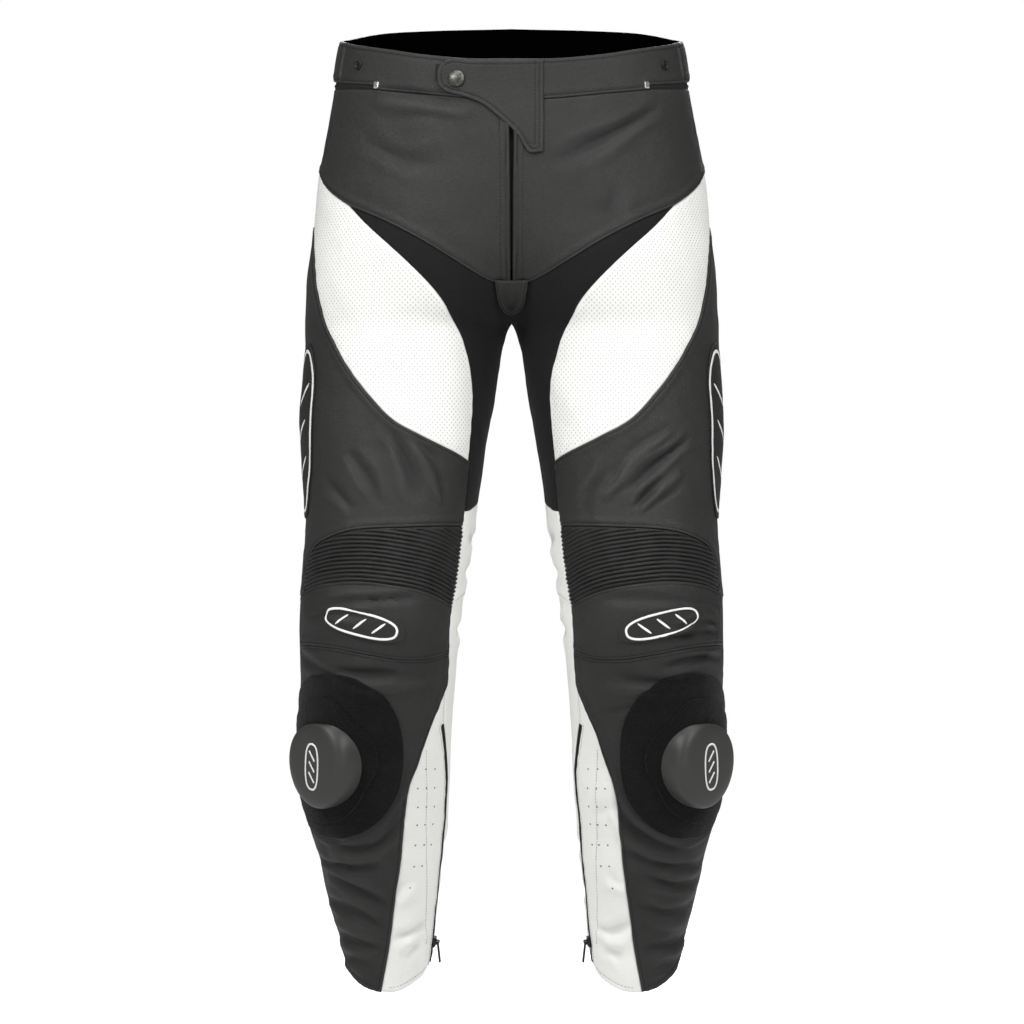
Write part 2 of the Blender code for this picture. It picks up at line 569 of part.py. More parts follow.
def add_patches(shop):
    """The pieces that lie on the panels of both halves, each lifted clear of what it lies on."""
    felt_lift = LYING_GAP + LOOP_FELT
    patches = (
        ("loop_patch", "loop_felt", LOOP_FELT, felt_lift, 15.0,
         oval(PATCH_PLACE, PATCH_SIZE, 2.2)),
        ("loop_pad", "loop_felt", LOOP_FELT, 2 * felt_lift, 15.0,
         oval(PAD_PLACE, PAD_SIZE, 2.2)),
        ("knee_badge", "badge", BADGE, LYING_GAP + BADGE, SMALL_STEP,
         oval(KNEE_BADGE_PLACE, KNEE_BADGE_SIZE, 2.6, tilt=-12)),
        ("thigh_badge", "badge", BADGE, LYING_GAP + BADGE, 15.0,
         oval(THIGH_BADGE_PLACE, THIGH_BADGE_SIZE, 2.2, tilt=-6)),
    )
    for name, finish, thickness, lift, step, outline in patches:
        for word, side in SIDES:
            label = name + "_" + word
            shop.add(label, cloth_mesh(label, outline, thickness, lift, step=step, inset=0,
                                       side=side), finish)


def add_middle_pieces(shop):
    """The fly flap, the fly's zip and the crotch tab, which span the middle plane."""
    flap = through(FLAP_EDGE, step=SMALL_STEP, unit=1.0)
    right_edge = through((FLAP_LOW_RIGHT, FLAP_TOP_RIGHT), step=SMALL_STEP, unit=1.0)
    half, top, foot = FLY_ZIP_SIZE
    corners = ((-half, top), (-half, foot), (half, foot), (half, top))
    sides = [through((corner, corners[(k + 1) % 4]), step=SMALL_STEP, unit=1.0)[:-1]
             for k, corner in enumerate(corners)]
    tab = through(TAB_EDGE, step=TAB_STEP, unit=1.0)
    tab_top = through((TAB_RIGHT, TAB_LEFT), step=TAB_STEP, unit=1.0)
    pieces = (
        ("fly_flap", "black_leather", LEATHER, LYING_GAP + LEATHER,
         np.vstack((flap[:-1], right_edge[:-1]))),
        ("fly_zip", "zip_tape", ZIP_TAPE, -LEATHER - FLY_ZIP_DEPTH,
         np.vstack(sides)),
        ("crotch_tab", "black_leather", LEATHER, LYING_GAP + CROTCH_EASE + LEATHER,
         np.vstack((tab[:-1], tab_top[:-1]))),
    )
    for name, finish, thickness, lift, outline in pieces:
        mesh = cloth_mesh(name, outline, thickness, lift, mapping=across_points, unit=1.0,
                          step=SMALL_STEP, inset=0)
        shop.add(name, mesh, finish)


# ---------------------------------------------------------------- hard fittings
def side_frame(place, mapping=form_points, lift=0.0, side=1):
    """Where a fitting sits: its point, outward direction and the level direction beside it."""
    point, normal = form_frame([place], mapping)
    flip = np.array((side, 1, 1))
    normal = Vector(normal[0] * flip).normalized()
    point = Vector(point[0] * flip) + normal * lift
    level = normal.cross(Vector((0, 0, 1))).normalized()
    return point, normal, level


def seat_matrix(point, across, up, out):
    """A matrix that puts a fitting's x, y and z along across, up and out, at a point."""
    frame = Matrix((across, up, out)).transposed().to_4x4()
    return Matrix.Translation(point * MM) @ frame


def turned_mesh(name, profile, segments=20):
    """A closed turned shape from a profile of (radius, height) that starts and ends on the axis."""
    shape = bmesh.new()
    verts = [shape.verts.new((radius * MM, 0, height * MM)) for radius, height in profile]
    edges = [shape.edges.new(pair) for pair in zip(verts, verts[1:])]
    bmesh.ops.spin(shape, geom=verts + edges, cent=(0, 0, 0), axis=(0, 0, 1),
                   angle=2 * math.pi, steps=segments)
    bmesh.ops.remove_doubles(shape, verts=shape.verts[:], dist=1e-6)
    bmesh.ops.recalc_face_normals(shape, faces=shape.faces[:])
    mesh = bpy.data.meshes.new(name)
    shape.to_mesh(mesh)
    shape.free()
    return mesh


def add_snaps(shop):
    """The flap's domed snap and the two flat snaps on the waistband."""
    flap_top = LYING_GAP + LEATHER + SEAM_GAP
    point, normal, level = side_frame((-FLAP_SNAP_PLACE[0], FLAP_SNAP_PLACE[1]),
                                      across_points, flap_top)
    radius, height = FLAP_SNAP_RADIUS, FLAP_SNAP_HEIGHT
    profile = ((0, 0.1), (radius * 0.9, 0.1), (radius, 0.9), (radius * 0.93, height * 0.6),
               (radius * 0.6, height * 0.93), (0, height))
    snap = shop.add("flap_snap", turned_mesh("flap_snap", profile), "dark_metal")
    snap.matrix_world = seat_matrix(point, level, normal.cross(level), normal)
    for word, side in SIDES:
        point, normal, level = side_frame(BAND_SNAP_PLACE, lift=SEAM_GAP, side=side)
        radius, height = BAND_SNAP_RADIUS, BAND_SNAP_HEIGHT
        profile = ((0, 0.1), (radius, 0.1), (radius, height * 0.6), (radius * 0.8, height),
                   (radius * 0.55, height), (radius * 0.45, height * 0.6), (0, height * 0.6))
        name = "band_snap_" + word
        snap = shop.add(name, turned_mesh(name, profile, 16), "dark_metal")
        snap.matrix_world = seat_matrix(point, level, normal.cross(level), normal)


def add_waist_sliders(shop):
    """The closed sliders of the two zips under the waistband."""
    for word, side in SIDES:
        point, normal, level = side_frame(WAIST_SLIDER_PLACE, lift=SEAM_GAP, side=side)
        shape = bmesh.new()
        bmesh.ops.create_cube(shape, size=1.0)
        width, length, height = WAIST_SLIDER_SIZE
        bmesh.ops.scale(shape, vec=(width * MM, length * MM, height * MM), verts=shape.verts)
        bmesh.ops.translate(shape, vec=(0, 0, (height / 2 + 0.1) * MM), verts=shape.verts)
        bmesh.ops.bevel(shape, geom=shape.edges[:], offset=0.8 * MM, segments=1,
                        affect="EDGES")
        name = "waist_slider_" + word
        mesh = bpy.data.meshes.new(name)
        shape.to_mesh(mesh)
        shape.free()
        slider = shop.add(name, mesh, "bright_metal")
        slider.matrix_world = seat_matrix(point, level, normal.cross(level), normal)


def slider_ring(turns, width, rise):
    """A ring of points under the knee slider, at a share of its base, moved out of the form."""
    radius = SLIDER_RADIUS * width
    places = np.column_stack((SLIDER_PLACE[0] - radius * np.cos(turns) / SHIN_PER_DEGREE,
                              SLIDER_PLACE[1] + radius * np.sin(turns)))
    points, normals = form_frame(places)
    return points + normals * rise


def add_knee_sliders(shop):
    """The knee sliders: a base that follows the pad, drawn up to a flat face that leans out."""
    turns = np.linspace(0, 2 * math.pi, SLIDER_SIDES, endpoint=False)
    rise = 2 * (LYING_GAP + LOOP_FELT) + LYING_GAP
    swing, tilt = (math.radians(angle) for angle in SLIDER_AIM)
    axis = np.array((math.sin(swing) * math.cos(tilt), -math.cos(swing) * math.cos(tilt),
                     -math.sin(tilt)))
    level = np.cross(axis, (0, 0, 1))
    level /= np.linalg.norm(level)
    across = np.outer(np.cos(turns), -level) + np.outer(np.sin(turns), np.cross(level, axis))
    face = form_points([SLIDER_PLACE])[0] + axis * SLIDER_HEIGHT
    foot = slider_ring(turns, 1.0, rise)
    for word, side in SIDES:
        shape = bmesh.new()
        rings = [slider_ring(turns if width else turns[:1], width, rise)
                 for width in (0.0, 0.25, 0.5, 0.75)]
        rings += [foot * (1 - share) + (face + across * SLIDER_RADIUS * width) * share
                  for share, width in SLIDER_WALL]
        loops = [[shape.verts.new(point * (side, 1, 1) * MM) for point in ring]
                 for ring in rings]
        for low, high in zip(loops, loops[1:]):
            for k in range(len(turns)):
                after = (k + 1) % len(turns)
                corners = (low[k % len(low)], low[after % len(low)], high[after], high[k])
                shape.faces.new(list(dict.fromkeys(corners)))
        shape.faces.new(loops[-1])
        bmesh.ops.recalc_face_normals(shape, faces=shape.faces[:])
        name = "knee_slider_" + word
        mesh = bpy.data.meshes.new(name)
        shape.to_mesh(mesh)
        shape.free()
        shop.add(name, mesh, "slider_plastic")


def add_ankle_fittings(shop):
    """The ankle zips' sliders, and their pull tabs, which swing on a pin between two ears."""
    for word, side in SIDES:
        point, normal, _ = side_frame(ANKLE_SLIDER_PLACE, lift=SEAM_GAP, side=side)
        angle, height = ANKLE_SLIDER_PLACE
        ends = form_points([(angle, height + 8), (angle - 0.6, height - 8)]) * (side, 1, 1)
        along = Vector(ends[0] - ends[1]).normalized()
        across = along.cross(normal).normalized()
        along = normal.cross(across)
        seat = seat_matrix(point, across, along, normal)
        width, length, thick = ANKLE_SLIDER_SIZE
        blocks = [((0, 0, thick / 2 + 0.1), (width, length, thick))]
        for sign in (-1, 1):
            ear_x = sign * (EAR_SPACING + EAR_THICKNESS) / 2
            blocks.append(((ear_x, 0, thick + EAR_HEIGHT / 2 - 0.2),
                           (EAR_THICKNESS, EAR_LENGTH, EAR_HEIGHT)))
        pin_height = thick + PIN_RISE
        name = "ankle_slider_" + word
        slider = shop.add(name, box_mesh(name, *blocks[0]), "dark_metal")
        slider.matrix_world = seat
        tools = [tool_box(shop, name + "_ear", *block) for block in blocks[1:]]
        tools.append(tool_rod(shop, name + "_pin", PIN_RADIUS, EAR_SPACING + EAR_THICKNESS,
                              (0, 0, pin_height)))
        for tool in tools:
            tool.matrix_world = seat @ tool.matrix_world
            join = slider.modifiers.new(tool.name, "BOOLEAN")
            join.operation = "UNION"
            join.object = tool
        add_pull(shop, word, seat, pin_height)


def box_mesh(name, middle, size):
    """A box mesh by its middle and size."""
    shape = bmesh.new()
    bmesh.ops.create_cube(shape, size=1.0)
    bmesh.ops.scale(shape, vec=[value * MM for value in size], verts=shape.verts)
    bmesh.ops.translate(shape, vec=[value * MM for value in middle], verts=shape.verts)
    mesh = bpy.data.meshes.new(name)
    shape.to_mesh(mesh)
    shape.free()
    return mesh


def rod_mesh(name, radius, length, middle, sides=16):
    """A round rod that lies along x."""
    shape = bmesh.new()
    bmesh.ops.create_cone(shape, cap_ends=True, segments=sides, radius1=radius * MM,
                          radius2=radius * MM, depth=length * MM)
    bmesh.ops.rotate(shape, verts=shape.verts, cent=(0, 0, 0),
                     matrix=Matrix.Rotation(math.pi / 2, 3, "Y"))
    bmesh.ops.translate(shape, vec=[value * MM for value in middle], verts=shape.verts)
    mesh = bpy.data.meshes.new(name)
    shape.to_mesh(mesh)
    shape.free()
    return mesh


def tool(shop, name, mesh):
    """A shape that is only joined to or cut from another."""
    thing = bpy.data.objects.new(name, mesh)
    shop.cutters.objects.link(thing)
    thing.hide_render = True
    thing.display_type = "WIRE"
    return thing


def tool_box(shop, name, middle, size):
    """A box that is joined to another shape."""
    return tool(shop, name, box_mesh(name, middle, size))


def tool_rod(shop, name, radius, length, middle):
    """A rod that is joined to or cut from another shape."""
    return tool(shop, name, rod_mesh(name, radius, length, middle))


def add_pull(shop, word, seat, pin_height):
    """One pull tab: a narrow plate with an eye round the pin, stored hanging straight down."""
    pin = seat @ Vector((0, 0, pin_height * MM))
    across = seat.to_3x3() @ Vector((1, 0, 0))
    down = Vector((0, 0, -1))
    hang = (down - across * down.dot(across)).normalized()
    flat = hang.cross(across).normalized()
    name = "ankle_pull_" + word
    body_length = PULL_LENGTH - EYE_OUTER
    plate = box_mesh(name, (0, -body_length / 2, 0), (PULL_WIDTH, body_length, PULL_THICKNESS))
    pull = shop.add(name, plate, "dark_metal")
    hanging = Matrix((across, -hang, flat if flat.dot(across.cross(-hang)) > 0 else -flat))
    pull.matrix_world = Matrix.Translation(pin) @ hanging.transposed().to_4x4()
    eye = tool_rod(shop, name + "_eye", EYE_OUTER, PULL_WIDTH - 0.3, (0, 0, 0))
    hole = tool_rod(shop, name + "_hole", EYE_RADIUS, PULL_WIDTH + 2, (0, 0, 0))
    for thing, operation in ((eye, "UNION"), (hole, "DIFFERENCE")):
        thing.matrix_world = pull.matrix_world
        change = pull.modifiers.new(thing.name, "BOOLEAN")
        change.operation = operation
        change.object = thing


def main():
    """Build the trousers."""
    clear_scene()
    shop = Workshop()
    add_panels(shop)
    add_patches(shop)
    add_middle_pieces(shop)
    add_snaps(shop)
    add_waist_sliders(shop)
    add_knee_sliders(shop)
    add_ankle_fittings(shop)


main()
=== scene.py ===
"""Leather motorcycle trousers, filled out and held at the waist: the looks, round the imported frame.

The garment is one hollow form, worked out from a table of horizontal rings for one leg. A place on
the form is (angle, height): the angle runs round the leg in degrees, 0 at the outer side, 90 at the
front and 180 at the inner side, with negative angles behind, and the height is in millimetres below
the waist. Every panel is a grid between four seams, lifted off the form by its folds, its rolled
edges and its own relief, and closed into a thin shell. The wearer's left is +X and the front faces
-Y. Lengths in the tables are in millimetres.
"""

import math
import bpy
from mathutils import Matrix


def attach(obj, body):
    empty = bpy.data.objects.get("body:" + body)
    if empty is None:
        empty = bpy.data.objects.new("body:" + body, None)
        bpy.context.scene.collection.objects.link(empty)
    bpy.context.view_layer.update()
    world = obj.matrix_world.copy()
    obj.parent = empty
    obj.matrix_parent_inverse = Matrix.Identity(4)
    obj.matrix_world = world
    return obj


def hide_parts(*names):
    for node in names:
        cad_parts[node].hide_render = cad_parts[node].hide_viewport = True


bl_info = {
    "name": "Leather Motorcycle Trousers",
    "version": (1, 0, 0),
    "blender": (4, 5, 0),
    "location": "View3D > Sidebar > Trousers",
    "description": "Sews leather motorcycle trousers over a packed frame",
    "category": "Object",
}

import bpy
import numpy as np
from mathutils import Vector

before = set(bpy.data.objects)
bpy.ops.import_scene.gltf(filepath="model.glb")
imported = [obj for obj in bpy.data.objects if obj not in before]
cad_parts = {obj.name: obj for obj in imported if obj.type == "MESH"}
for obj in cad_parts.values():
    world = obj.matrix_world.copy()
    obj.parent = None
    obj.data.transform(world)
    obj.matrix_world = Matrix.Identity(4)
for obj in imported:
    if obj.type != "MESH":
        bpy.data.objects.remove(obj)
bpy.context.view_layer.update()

# ---------------------------------------------------------------- sizes, in millimetres
MM = 0.001
FINE = 2.0                  # step of the points along a seam
TINY = 1e-9                 # keeps what divides above nothing
FLAT_PER_DEGREE = 1.7       # width of one degree when a panel is laid out flat
EDGE_ROWS = (0.0, 0.45, 1.1, 2.0, 3.1, 4.4)     # a panel's first rows, from its edge
EDGE_REACH = 30.0           # how far in from its edge a panel's material is told of it
SHARP_ANGLE = 50            # degrees between faces from which an edge is sharp
SEAM_GAP = 0.3
LEATHER, WHITE_LEATHER, STRETCH, ZIP_TAPE, LOOP_FELT, BADGE = 2.0, 1.8, 1.6, 1.2, 1.6, 1.0
LYING_GAP = 0.6
SIDES = (("left", 1), ("right", -1))       # the wearer's

# One leg's horizontal rings: height, outer edge x, inner edge x, middle y, depth in front, behind.
RINGS = (
    (40, 172, -172, 0, 96, 100),
    (0, 178, -178, 0, 99, 103),
    (-47, 185.5, -182, 0, 105, 112),
    (-99, 194, -178, 0, 112, 124),
    (-137, 202, -162, 0, 115, 132),
    (-162, 205, -145, 0, 117, 137),
    (-193, 208, -118, 0, 118, 139),
    (-225, 212, -86, 0, 117, 137),
    (-256, 215, -51, 2, 113, 131),
    (-280, 216, -22, 3, 108, 124),
    (-298, 217, 0, 4, 104, 117),
    (-318, 217, 7.5, 1, 102, 112),
    (-350, 218, 13, -4, 98, 104),
    (-400, 220.5, 22, -12, 94, 97),
    (-450, 218, 30, -21, 90, 90),
    (-500, 215, 37, -30, 87, 83),
    (-555, 219, 45, -39, 86, 76),
    (-600, 221, 52, -43, 86, 72),
    (-634, 221, 55, -41, 86, 72),
    (-680, 221, 59.5, -28, 84, 76),
    (-744, 221, 64, -2, 80, 80),
    (-792, 219, 65.6, 20, 74, 80),
    (-823, 213.7, 69, 34, 69, 77),
    (-855, 204, 72, 48, 64, 73),
    (-902, 195, 77, 68, 57, 65),
    (-949, 182, 82, 89, 52, 58),
    (-1010, 175, 88, 116, 48, 52),
)
ROUND_TABLE = ((-190.0, 231.0, 2.0), (-1020.0, 41.0, 10.0))     # angles and heights: range, step
CROTCH = -298.0
VALLEY_START, VALLEY_SHARE, VALLEY_MAX = 22.0, 0.3, 14.0

RIM = ((-90, 19.3), (-64.5, 17), (-43, 13), (-14, 2.7), (0, 0), (44, -13), (63, -20.7),
       (77, -24.3), (90, -24.5))
HEM = ((-170, -943), (-150, -938), (-90, -930), (-45, -934), (-10, -947), (0, -955), (13, -972),
       (37, -989), (65, -1001), (84, -1004), (105, -1003), (129, -995), (150, -985), (166, -973),
       (180, -957), (195, -946), (210, -940))

BAND_JOIN, BAND_BACK_JOIN = (15.0, -45.5), (-50.0, -31.0)
SIDE_BAND, SIDE_HIP = (-12.0, -41.0), (-12.0, -51.0)
ZIP_END_TOP, ZIP_END_LOW = (40.0, -50.3), (40.0, -54.7)
SIDE_WHITE_TOP, SIDE_WHITE_LOW, SIDE_SEAT = (-12.0, -134.0), (-12.0, -192.0), (-12.0, -255.0)
HIP_TIP, WHITE_TIP = (38.0, -175.0), (147.5, -442.0)
STRETCH_CORNER, STRETCH_BACK = (150.0, -494.0), (205.0, -485.0)
RIB_INNER, RIB_OUTER, RIB_SPLIT = (149.0, -509.0), (20.0, -577.0), (34.0, -527.0)
CUP_INNER, CUP_SIDE, CUP_BACK = (151.0, -592.0), (8.0, -580.0), (205.0, -580.0)
SHIN_INNER, SHIN_SIDE, CALF_TIP = (153.0, -640.0), (11.0, -633.0), (155.0, -674.0)
ZIP_TOP_FRONT, ZIP_TOP_BACK = (151.5, -718.0), (156.0, -716.0)
HEM_SIDE_ANGLE, HEM_SHIN_ANGLE, HEM_ZIP_FRONT, HEM_ZIP_BACK, HEM_BACK_ANGLE = -8, 81, 163, 170, 200
FLY_FOOT = SEAT_FOOT = -262.0
FLY_TOP, BAND_BACK_FOOT = -68.0, -26.0
FLY_SLIT = ((-250.0, 0.8), (-150.0, 1.2), (-76.0, 2.4))     # height and half width
FLY_ZIP_SIZE, FLY_ZIP_DEPTH = (8.0, -74.0, -246.0), 2.4
CROTCH_EASE = 1.4

FLAP_TOP_RIGHT, FLAP_LOW_RIGHT = (-33.0, -25.5), (-33.0, -122.0)
FLAP_EDGE = (FLAP_TOP_RIGHT, (0, -26.5), (40, -26.5), (66, -26), (73, -31), (76, -45), (74, -54),
             (68, -59), (52, -64), (33, -71), (12, -87), (-7, -106), (-14, -118), (-17, -122),
             FLAP_LOW_RIGHT)
TAB_LEFT, TAB_RIGHT = (-18.0, -253.0), (18.0, -253.0)
TAB_EDGE = (TAB_LEFT, (-17.3, -261), (-16.4, -268), (-15, -275), (-12.6, -281), (-8, -285.4),
            (0, -286.6), (8, -285.4), (12.6, -281), (15, -275), (16.4, -268), (17.3, -261),
            TAB_RIGHT)

SLIDER_PLACE, SLIDER_AIM = (50.0, -757.0), (50.0, 8.0)
SLIDER_RADIUS, SLIDER_HEIGHT, SHIN_PER_DEGREE = 44.0, 20.0, 1.42
SLIDER_CORNER, SLIDER_BULGE = 4.4, 1.05
PATCH_PLACE, PATCH_SIZE = (51.5, -749.0), (61.0, 87.0)
PAD_PLACE = (44.0, -752.0)
PAD_EDGE = ((-6, -752), (-1, -722), (10, -705), (26.5, -695.8), (46.5, -687.4), (60.5, -690),
            (71, -706), (80.5, -719.5), (90, -734), (93, -752.5), (90.5, -765), (84.5, -779),
            (73.5, -803), (56.5, -817), (34, -819), (12, -806), (-1, -782), (-6, -752))
KNEE_BADGE_PLACE, KNEE_BADGE_SIZE = (77.0, -610.0), (32.0, 14.0)
THIGH_BADGE_PLACE, THIGH_BADGE_SIZE = (13.0, -410.0), (17.0, 92.0)
FLAP_SNAP_PLACE, FLAP_SNAP_RADIUS, FLAP_SNAP_HEIGHT = (-56.5, -46.0), 8.6, 3.4
BAND_SNAP_PLACE, BAND_SNAP_RADIUS, BAND_SNAP_HEIGHT = (29.4, -29.0), 5.0, 1.6
ANKLE_SLIDER_PLACE, WAIST_SLIDER_PLACE = (168.0, -950.0), (41.5, -50.5)
# Where a dark sheet of painted shade fills the gap beside the flap's end: its x, its heights and its
# lift.
NOTCH_X, NOTCH_HEIGHTS, NOTCH_LIFT = (69.0, 78.6), (-30.5, -47.5), (0.6, 1.25)
CUP_FULLNESS = 2.6          # how far the knee cup stands out
ZIP_SINK, TOOTH_HEIGHT, TOOTH_PITCH = 0.7, 1.1, 2.4
FLY_TOOTH_HEIGHT, FLY_TOOTH_PITCH = 0.9, 1.9
PRINT_SIZE, PRINT_POWER, PRINT_TILT, PRINT_HALF_WIDTH = (9.5, 23.0), 2.6, 12, 0.95

# Punched holes: the spacing and radius of the thigh's, and the calf's rows of height and angles.
HOLE_SPACING, HOLE_RADIUS = 5.5, 0.62
CALF_HOLES = (
    (-763, (133, 143)), (-783, (125, 133.5, 143)), (-803, (125.5, 134.5, 144)),
    (-822, (125.5, 134, 144)), (-844, (124, 134, 143)), (-866.5, (122.5, 132)), (-889.5, (119,)),
)

# Overlays: name, panel under it, place, size, squareness, tilt, lift, width of its outline and half
# length of its bars, which cross it at these shares of its size.
OVERLAYS = (
    ("thigh_badge", "thigh_outer", THIGH_BADGE_PLACE, THIGH_BADGE_SIZE, 2.2, -6, 0.0, 3.6, 13.0),
    ("knee_badge", "knee_cup", KNEE_BADGE_PLACE, KNEE_BADGE_SIZE, 2.6, -12, CUP_FULLNESS, 2.4,
     6.5),
)
BAR_SHARES, BAR_SPREAD = (-0.32, 0.0, 0.32), 1.3

# Where the cloth lies calm: the place, and how far from it the folds start and are full, with the
# width of one degree there.
CALM = (
    (SLIDER_PLACE, 46, 66, SHIN_PER_DEGREE), (ANKLE_SLIDER_PLACE, 6, 14, 0.9),
    (WAIST_SLIDER_PLACE, 6, 12, 2.6), (BAND_SNAP_PLACE, 6, 12, 2.6),
)
# Depth of the soft unevenness at distances below the waist.
UNEVENNESS = ((-20, 0.12), (40, 0.2), (90, 0.6), (480, 0.75), (560, 0.5), (660, 0.6),
              (820, 0.95), (1000, 1.0))

LEAST_SHARE, ROUNDING_MARGIN = 0.31, 0.9995

PREFIX = "trousers_"
AMBIENT = 0.2
LIGHTS = (
    ("front_left", (-3.6, -4.5, 3.1), (2.1, 2.1), 245.0),
    ("front_right", (3.6, -4.8, 2.35), (2.1, 2.1), 172.0),
    ("above", (0.45, -1.8, 4.15), (2.8, 1.8), 132.0),
    ("behind", (0.6, 5.1, 2.65), (3.6, 2.8), 232.0),
)
LIGHT_AIM = (0, 0, -0.5)
CAMERA_PLACE = (0.0005, -7.5, -0.4946)
CAMERA_LENS, CAMERA_SENSOR, CAMERA_REACH = 251.1, 36.0, 100.0
FLOOR_HALF, FLOOR_HEIGHT = 9000, -1300.0

# How a panel ends at a seam: lift over its neighbour, depth and width of its rolled edge, and the
# distances of its stitch lines from the edge.
STYLES = {
    "none": (0.0, 0.0, 1.0, ()),
    "plain": (0.0, 1.4, 2.4, ()),
    "plain1": (0.0, 1.4, 2.4, (3.4,)),
    "under": (-0.3, 1.0, 1.6, ()),
    "over": (1.1, 1.2, 1.7, (3.2,)),
    "twin": (1.1, 1.2, 1.7, (2.8, 6.8)),
    "rim": (0.5, 1.1, 1.8, (4.0,)),
    "hem": (0.4, 1.0, 1.6, (6.6,)),
    "slit": (2.2, 1.8, 3.2, (10.5,)),
    "flap": (0.3, 1.1, 1.7, (4.6,)),
    "flap_end": (0.3, 1.1, 1.7, (4.6, 8.8)),
    "tab": (0.3, 1.0, 1.5, (2.0,)),
    "sewn": (0.0, 0.0, 1.0, ()),
}
# Stitch lines that run across a panel, as places.
SEWN_LINES = {"calf_white": ((133, -742), (133.5, -760), (134.5, -799), (136.5, -839),
                             (139.5, -882), (144, -929), (147, -952))}

# Panels of one half: finish, thickness, step, four sides in order round the panel, how it ends at
# each, and how its cloth is held. A minus sign runs a seam backwards, and a tilde moves it by a
# full turn. An empty side is a point.
PANELS = {
    "band_front": ("black_leather", LEATHER, 2.8,
                   ("rim_front", "band_side_join", "-band_foot_zip -zip_end -band_foot_front",
                    "-band_front_end"), ("rim", "plain", "over", "none"), "hung"),
    "band_side": ("black_leather", LEATHER, 3.0,
                  ("rim_side", "band_back_join", "-band_foot_hip -band_foot_side",
                   "-band_side_join"), ("rim", "plain", "over", "plain1"), "hung"),
    "band_back": ("black_leather", LEATHER, 4.0,
                  ("rim_back", "band_back_end", "-band_foot_back", "-band_back_join"),
                  ("rim", "none", "over", "plain1"), "hung"),
    "hip_front": ("black_leather", LEATHER, 3.8,
                  ("band_foot_front zip_foot", "side_hip", "hip_side hip_low", "-fly_edge"),
                  ("under", "plain", "over", "slit"), "hung"),
    "thigh_white": ("white_leather", WHITE_LEATHER, 3.8,
                    ("hip_side white_inner", "", "-white_outer", "-side_white"),
                    ("plain", "none", "under", "plain"), "hung"),
    "inner_stretch": ("stretch_fabric", STRETCH, 5.5,
                      ("hip_low crotch", "stretch_back", "-stretch_hem",
                       "-stretch_front -white_inner"),
                      ("under", "plain", "plain", "plain"), "stretched"),
    "thigh_outer": ("black_leather", LEATHER, 3.8,
                    ("white_outer", "stretch_front knee_white_front", "rib_top cup_corner",
                     "-side_thigh -side_seat"), ("over", "plain", "over", "plain"), "hung"),
    "seat": ("black_leather", LEATHER, 5.2,
             ("band_foot_hip band_foot_back", "seat_middle", "seat_low",
              "-side_seat -side_white -side_hip -zip_side"),
             ("under", "plain1", "over", "plain1"), "hung"),
    "thigh_back": ("black_leather", LEATHER, 5.2,
                   ("-seat_low", "~stretch_back ~knee_white_back", "-knee_back", "-side_thigh"),
                   ("under", "plain1", "over", "plain1"), "hung"),
    "knee_ribs": ("black_leather", LEATHER, 0.64,
                  ("rib_top_front", "rib_top_side", "cup_top", "-rib_inner"),
                  ("under", "under", "under", "plain"), "gathered"),
    "knee_cup": ("black_leather", LEATHER, 2.8,
                 ("-cup_corner cup_top", "cup_inner", "-cup_low", "-side_cup"),
                 ("over", "plain", "over", "plain"), "stretched"),
    "knee_white": ("white_leather", WHITE_LEATHER, 3.4,
                   ("stretch_hem", "knee_white_back", "-knee_white_low",
                    "-rib_inner -knee_white_front"),
                   ("plain", "plain", "over", "plain"), "hung"),
    "shin_front": ("black_leather", LEATHER, 3.1,
                   ("cup_low", "shin_top shin_inner", "-hem_shin", "-side_shin"),
                   ("plain1", "over", "hem", "plain"), "hung"),
    "calf_white": ("white_leather", WHITE_LEATHER, 3.3,
                   ("calf_seam zip_top zip_front", "-hem_calf", "-shin_inner", ""),
                   ("plain1", "hem", "under", "none"), "hung"),
    "calf_side_white": ("white_leather", WHITE_LEATHER, 4.4,
                        ("knee_white_low", "calf_white_back", "-hem_inside",
                         "-zip_back -calf_seam -shin_top -cup_inner"),
                        ("under", "plain", "hem", "plain"), "hung"),
    "calf_back": ("black_leather", LEATHER, 5.0,
                  ("knee_back", "~calf_white_back", "hem_back", "-side_shin -side_cup"),
                  ("under", "plain1", "hem", "plain1"), "hung"),
}
TIPS = {"thigh_white": WHITE_TIP, "calf_white": CALF_TIP}      # where an empty side's point lies
SKINS = {"thigh_white": "white_leather_punched", "knee_cup": "knee_leather",
         "knee_ribs": "knee_leather", "shin_front": "knee_leather"}
ZIPS = {
    "waist_zip": ("zip_end", "band_foot_zip band_foot_side", "zip_side", "-zip_foot"),
    "ankle_zip": ("zip_top", "zip_front", "hem_zip", "-zip_back"),
}

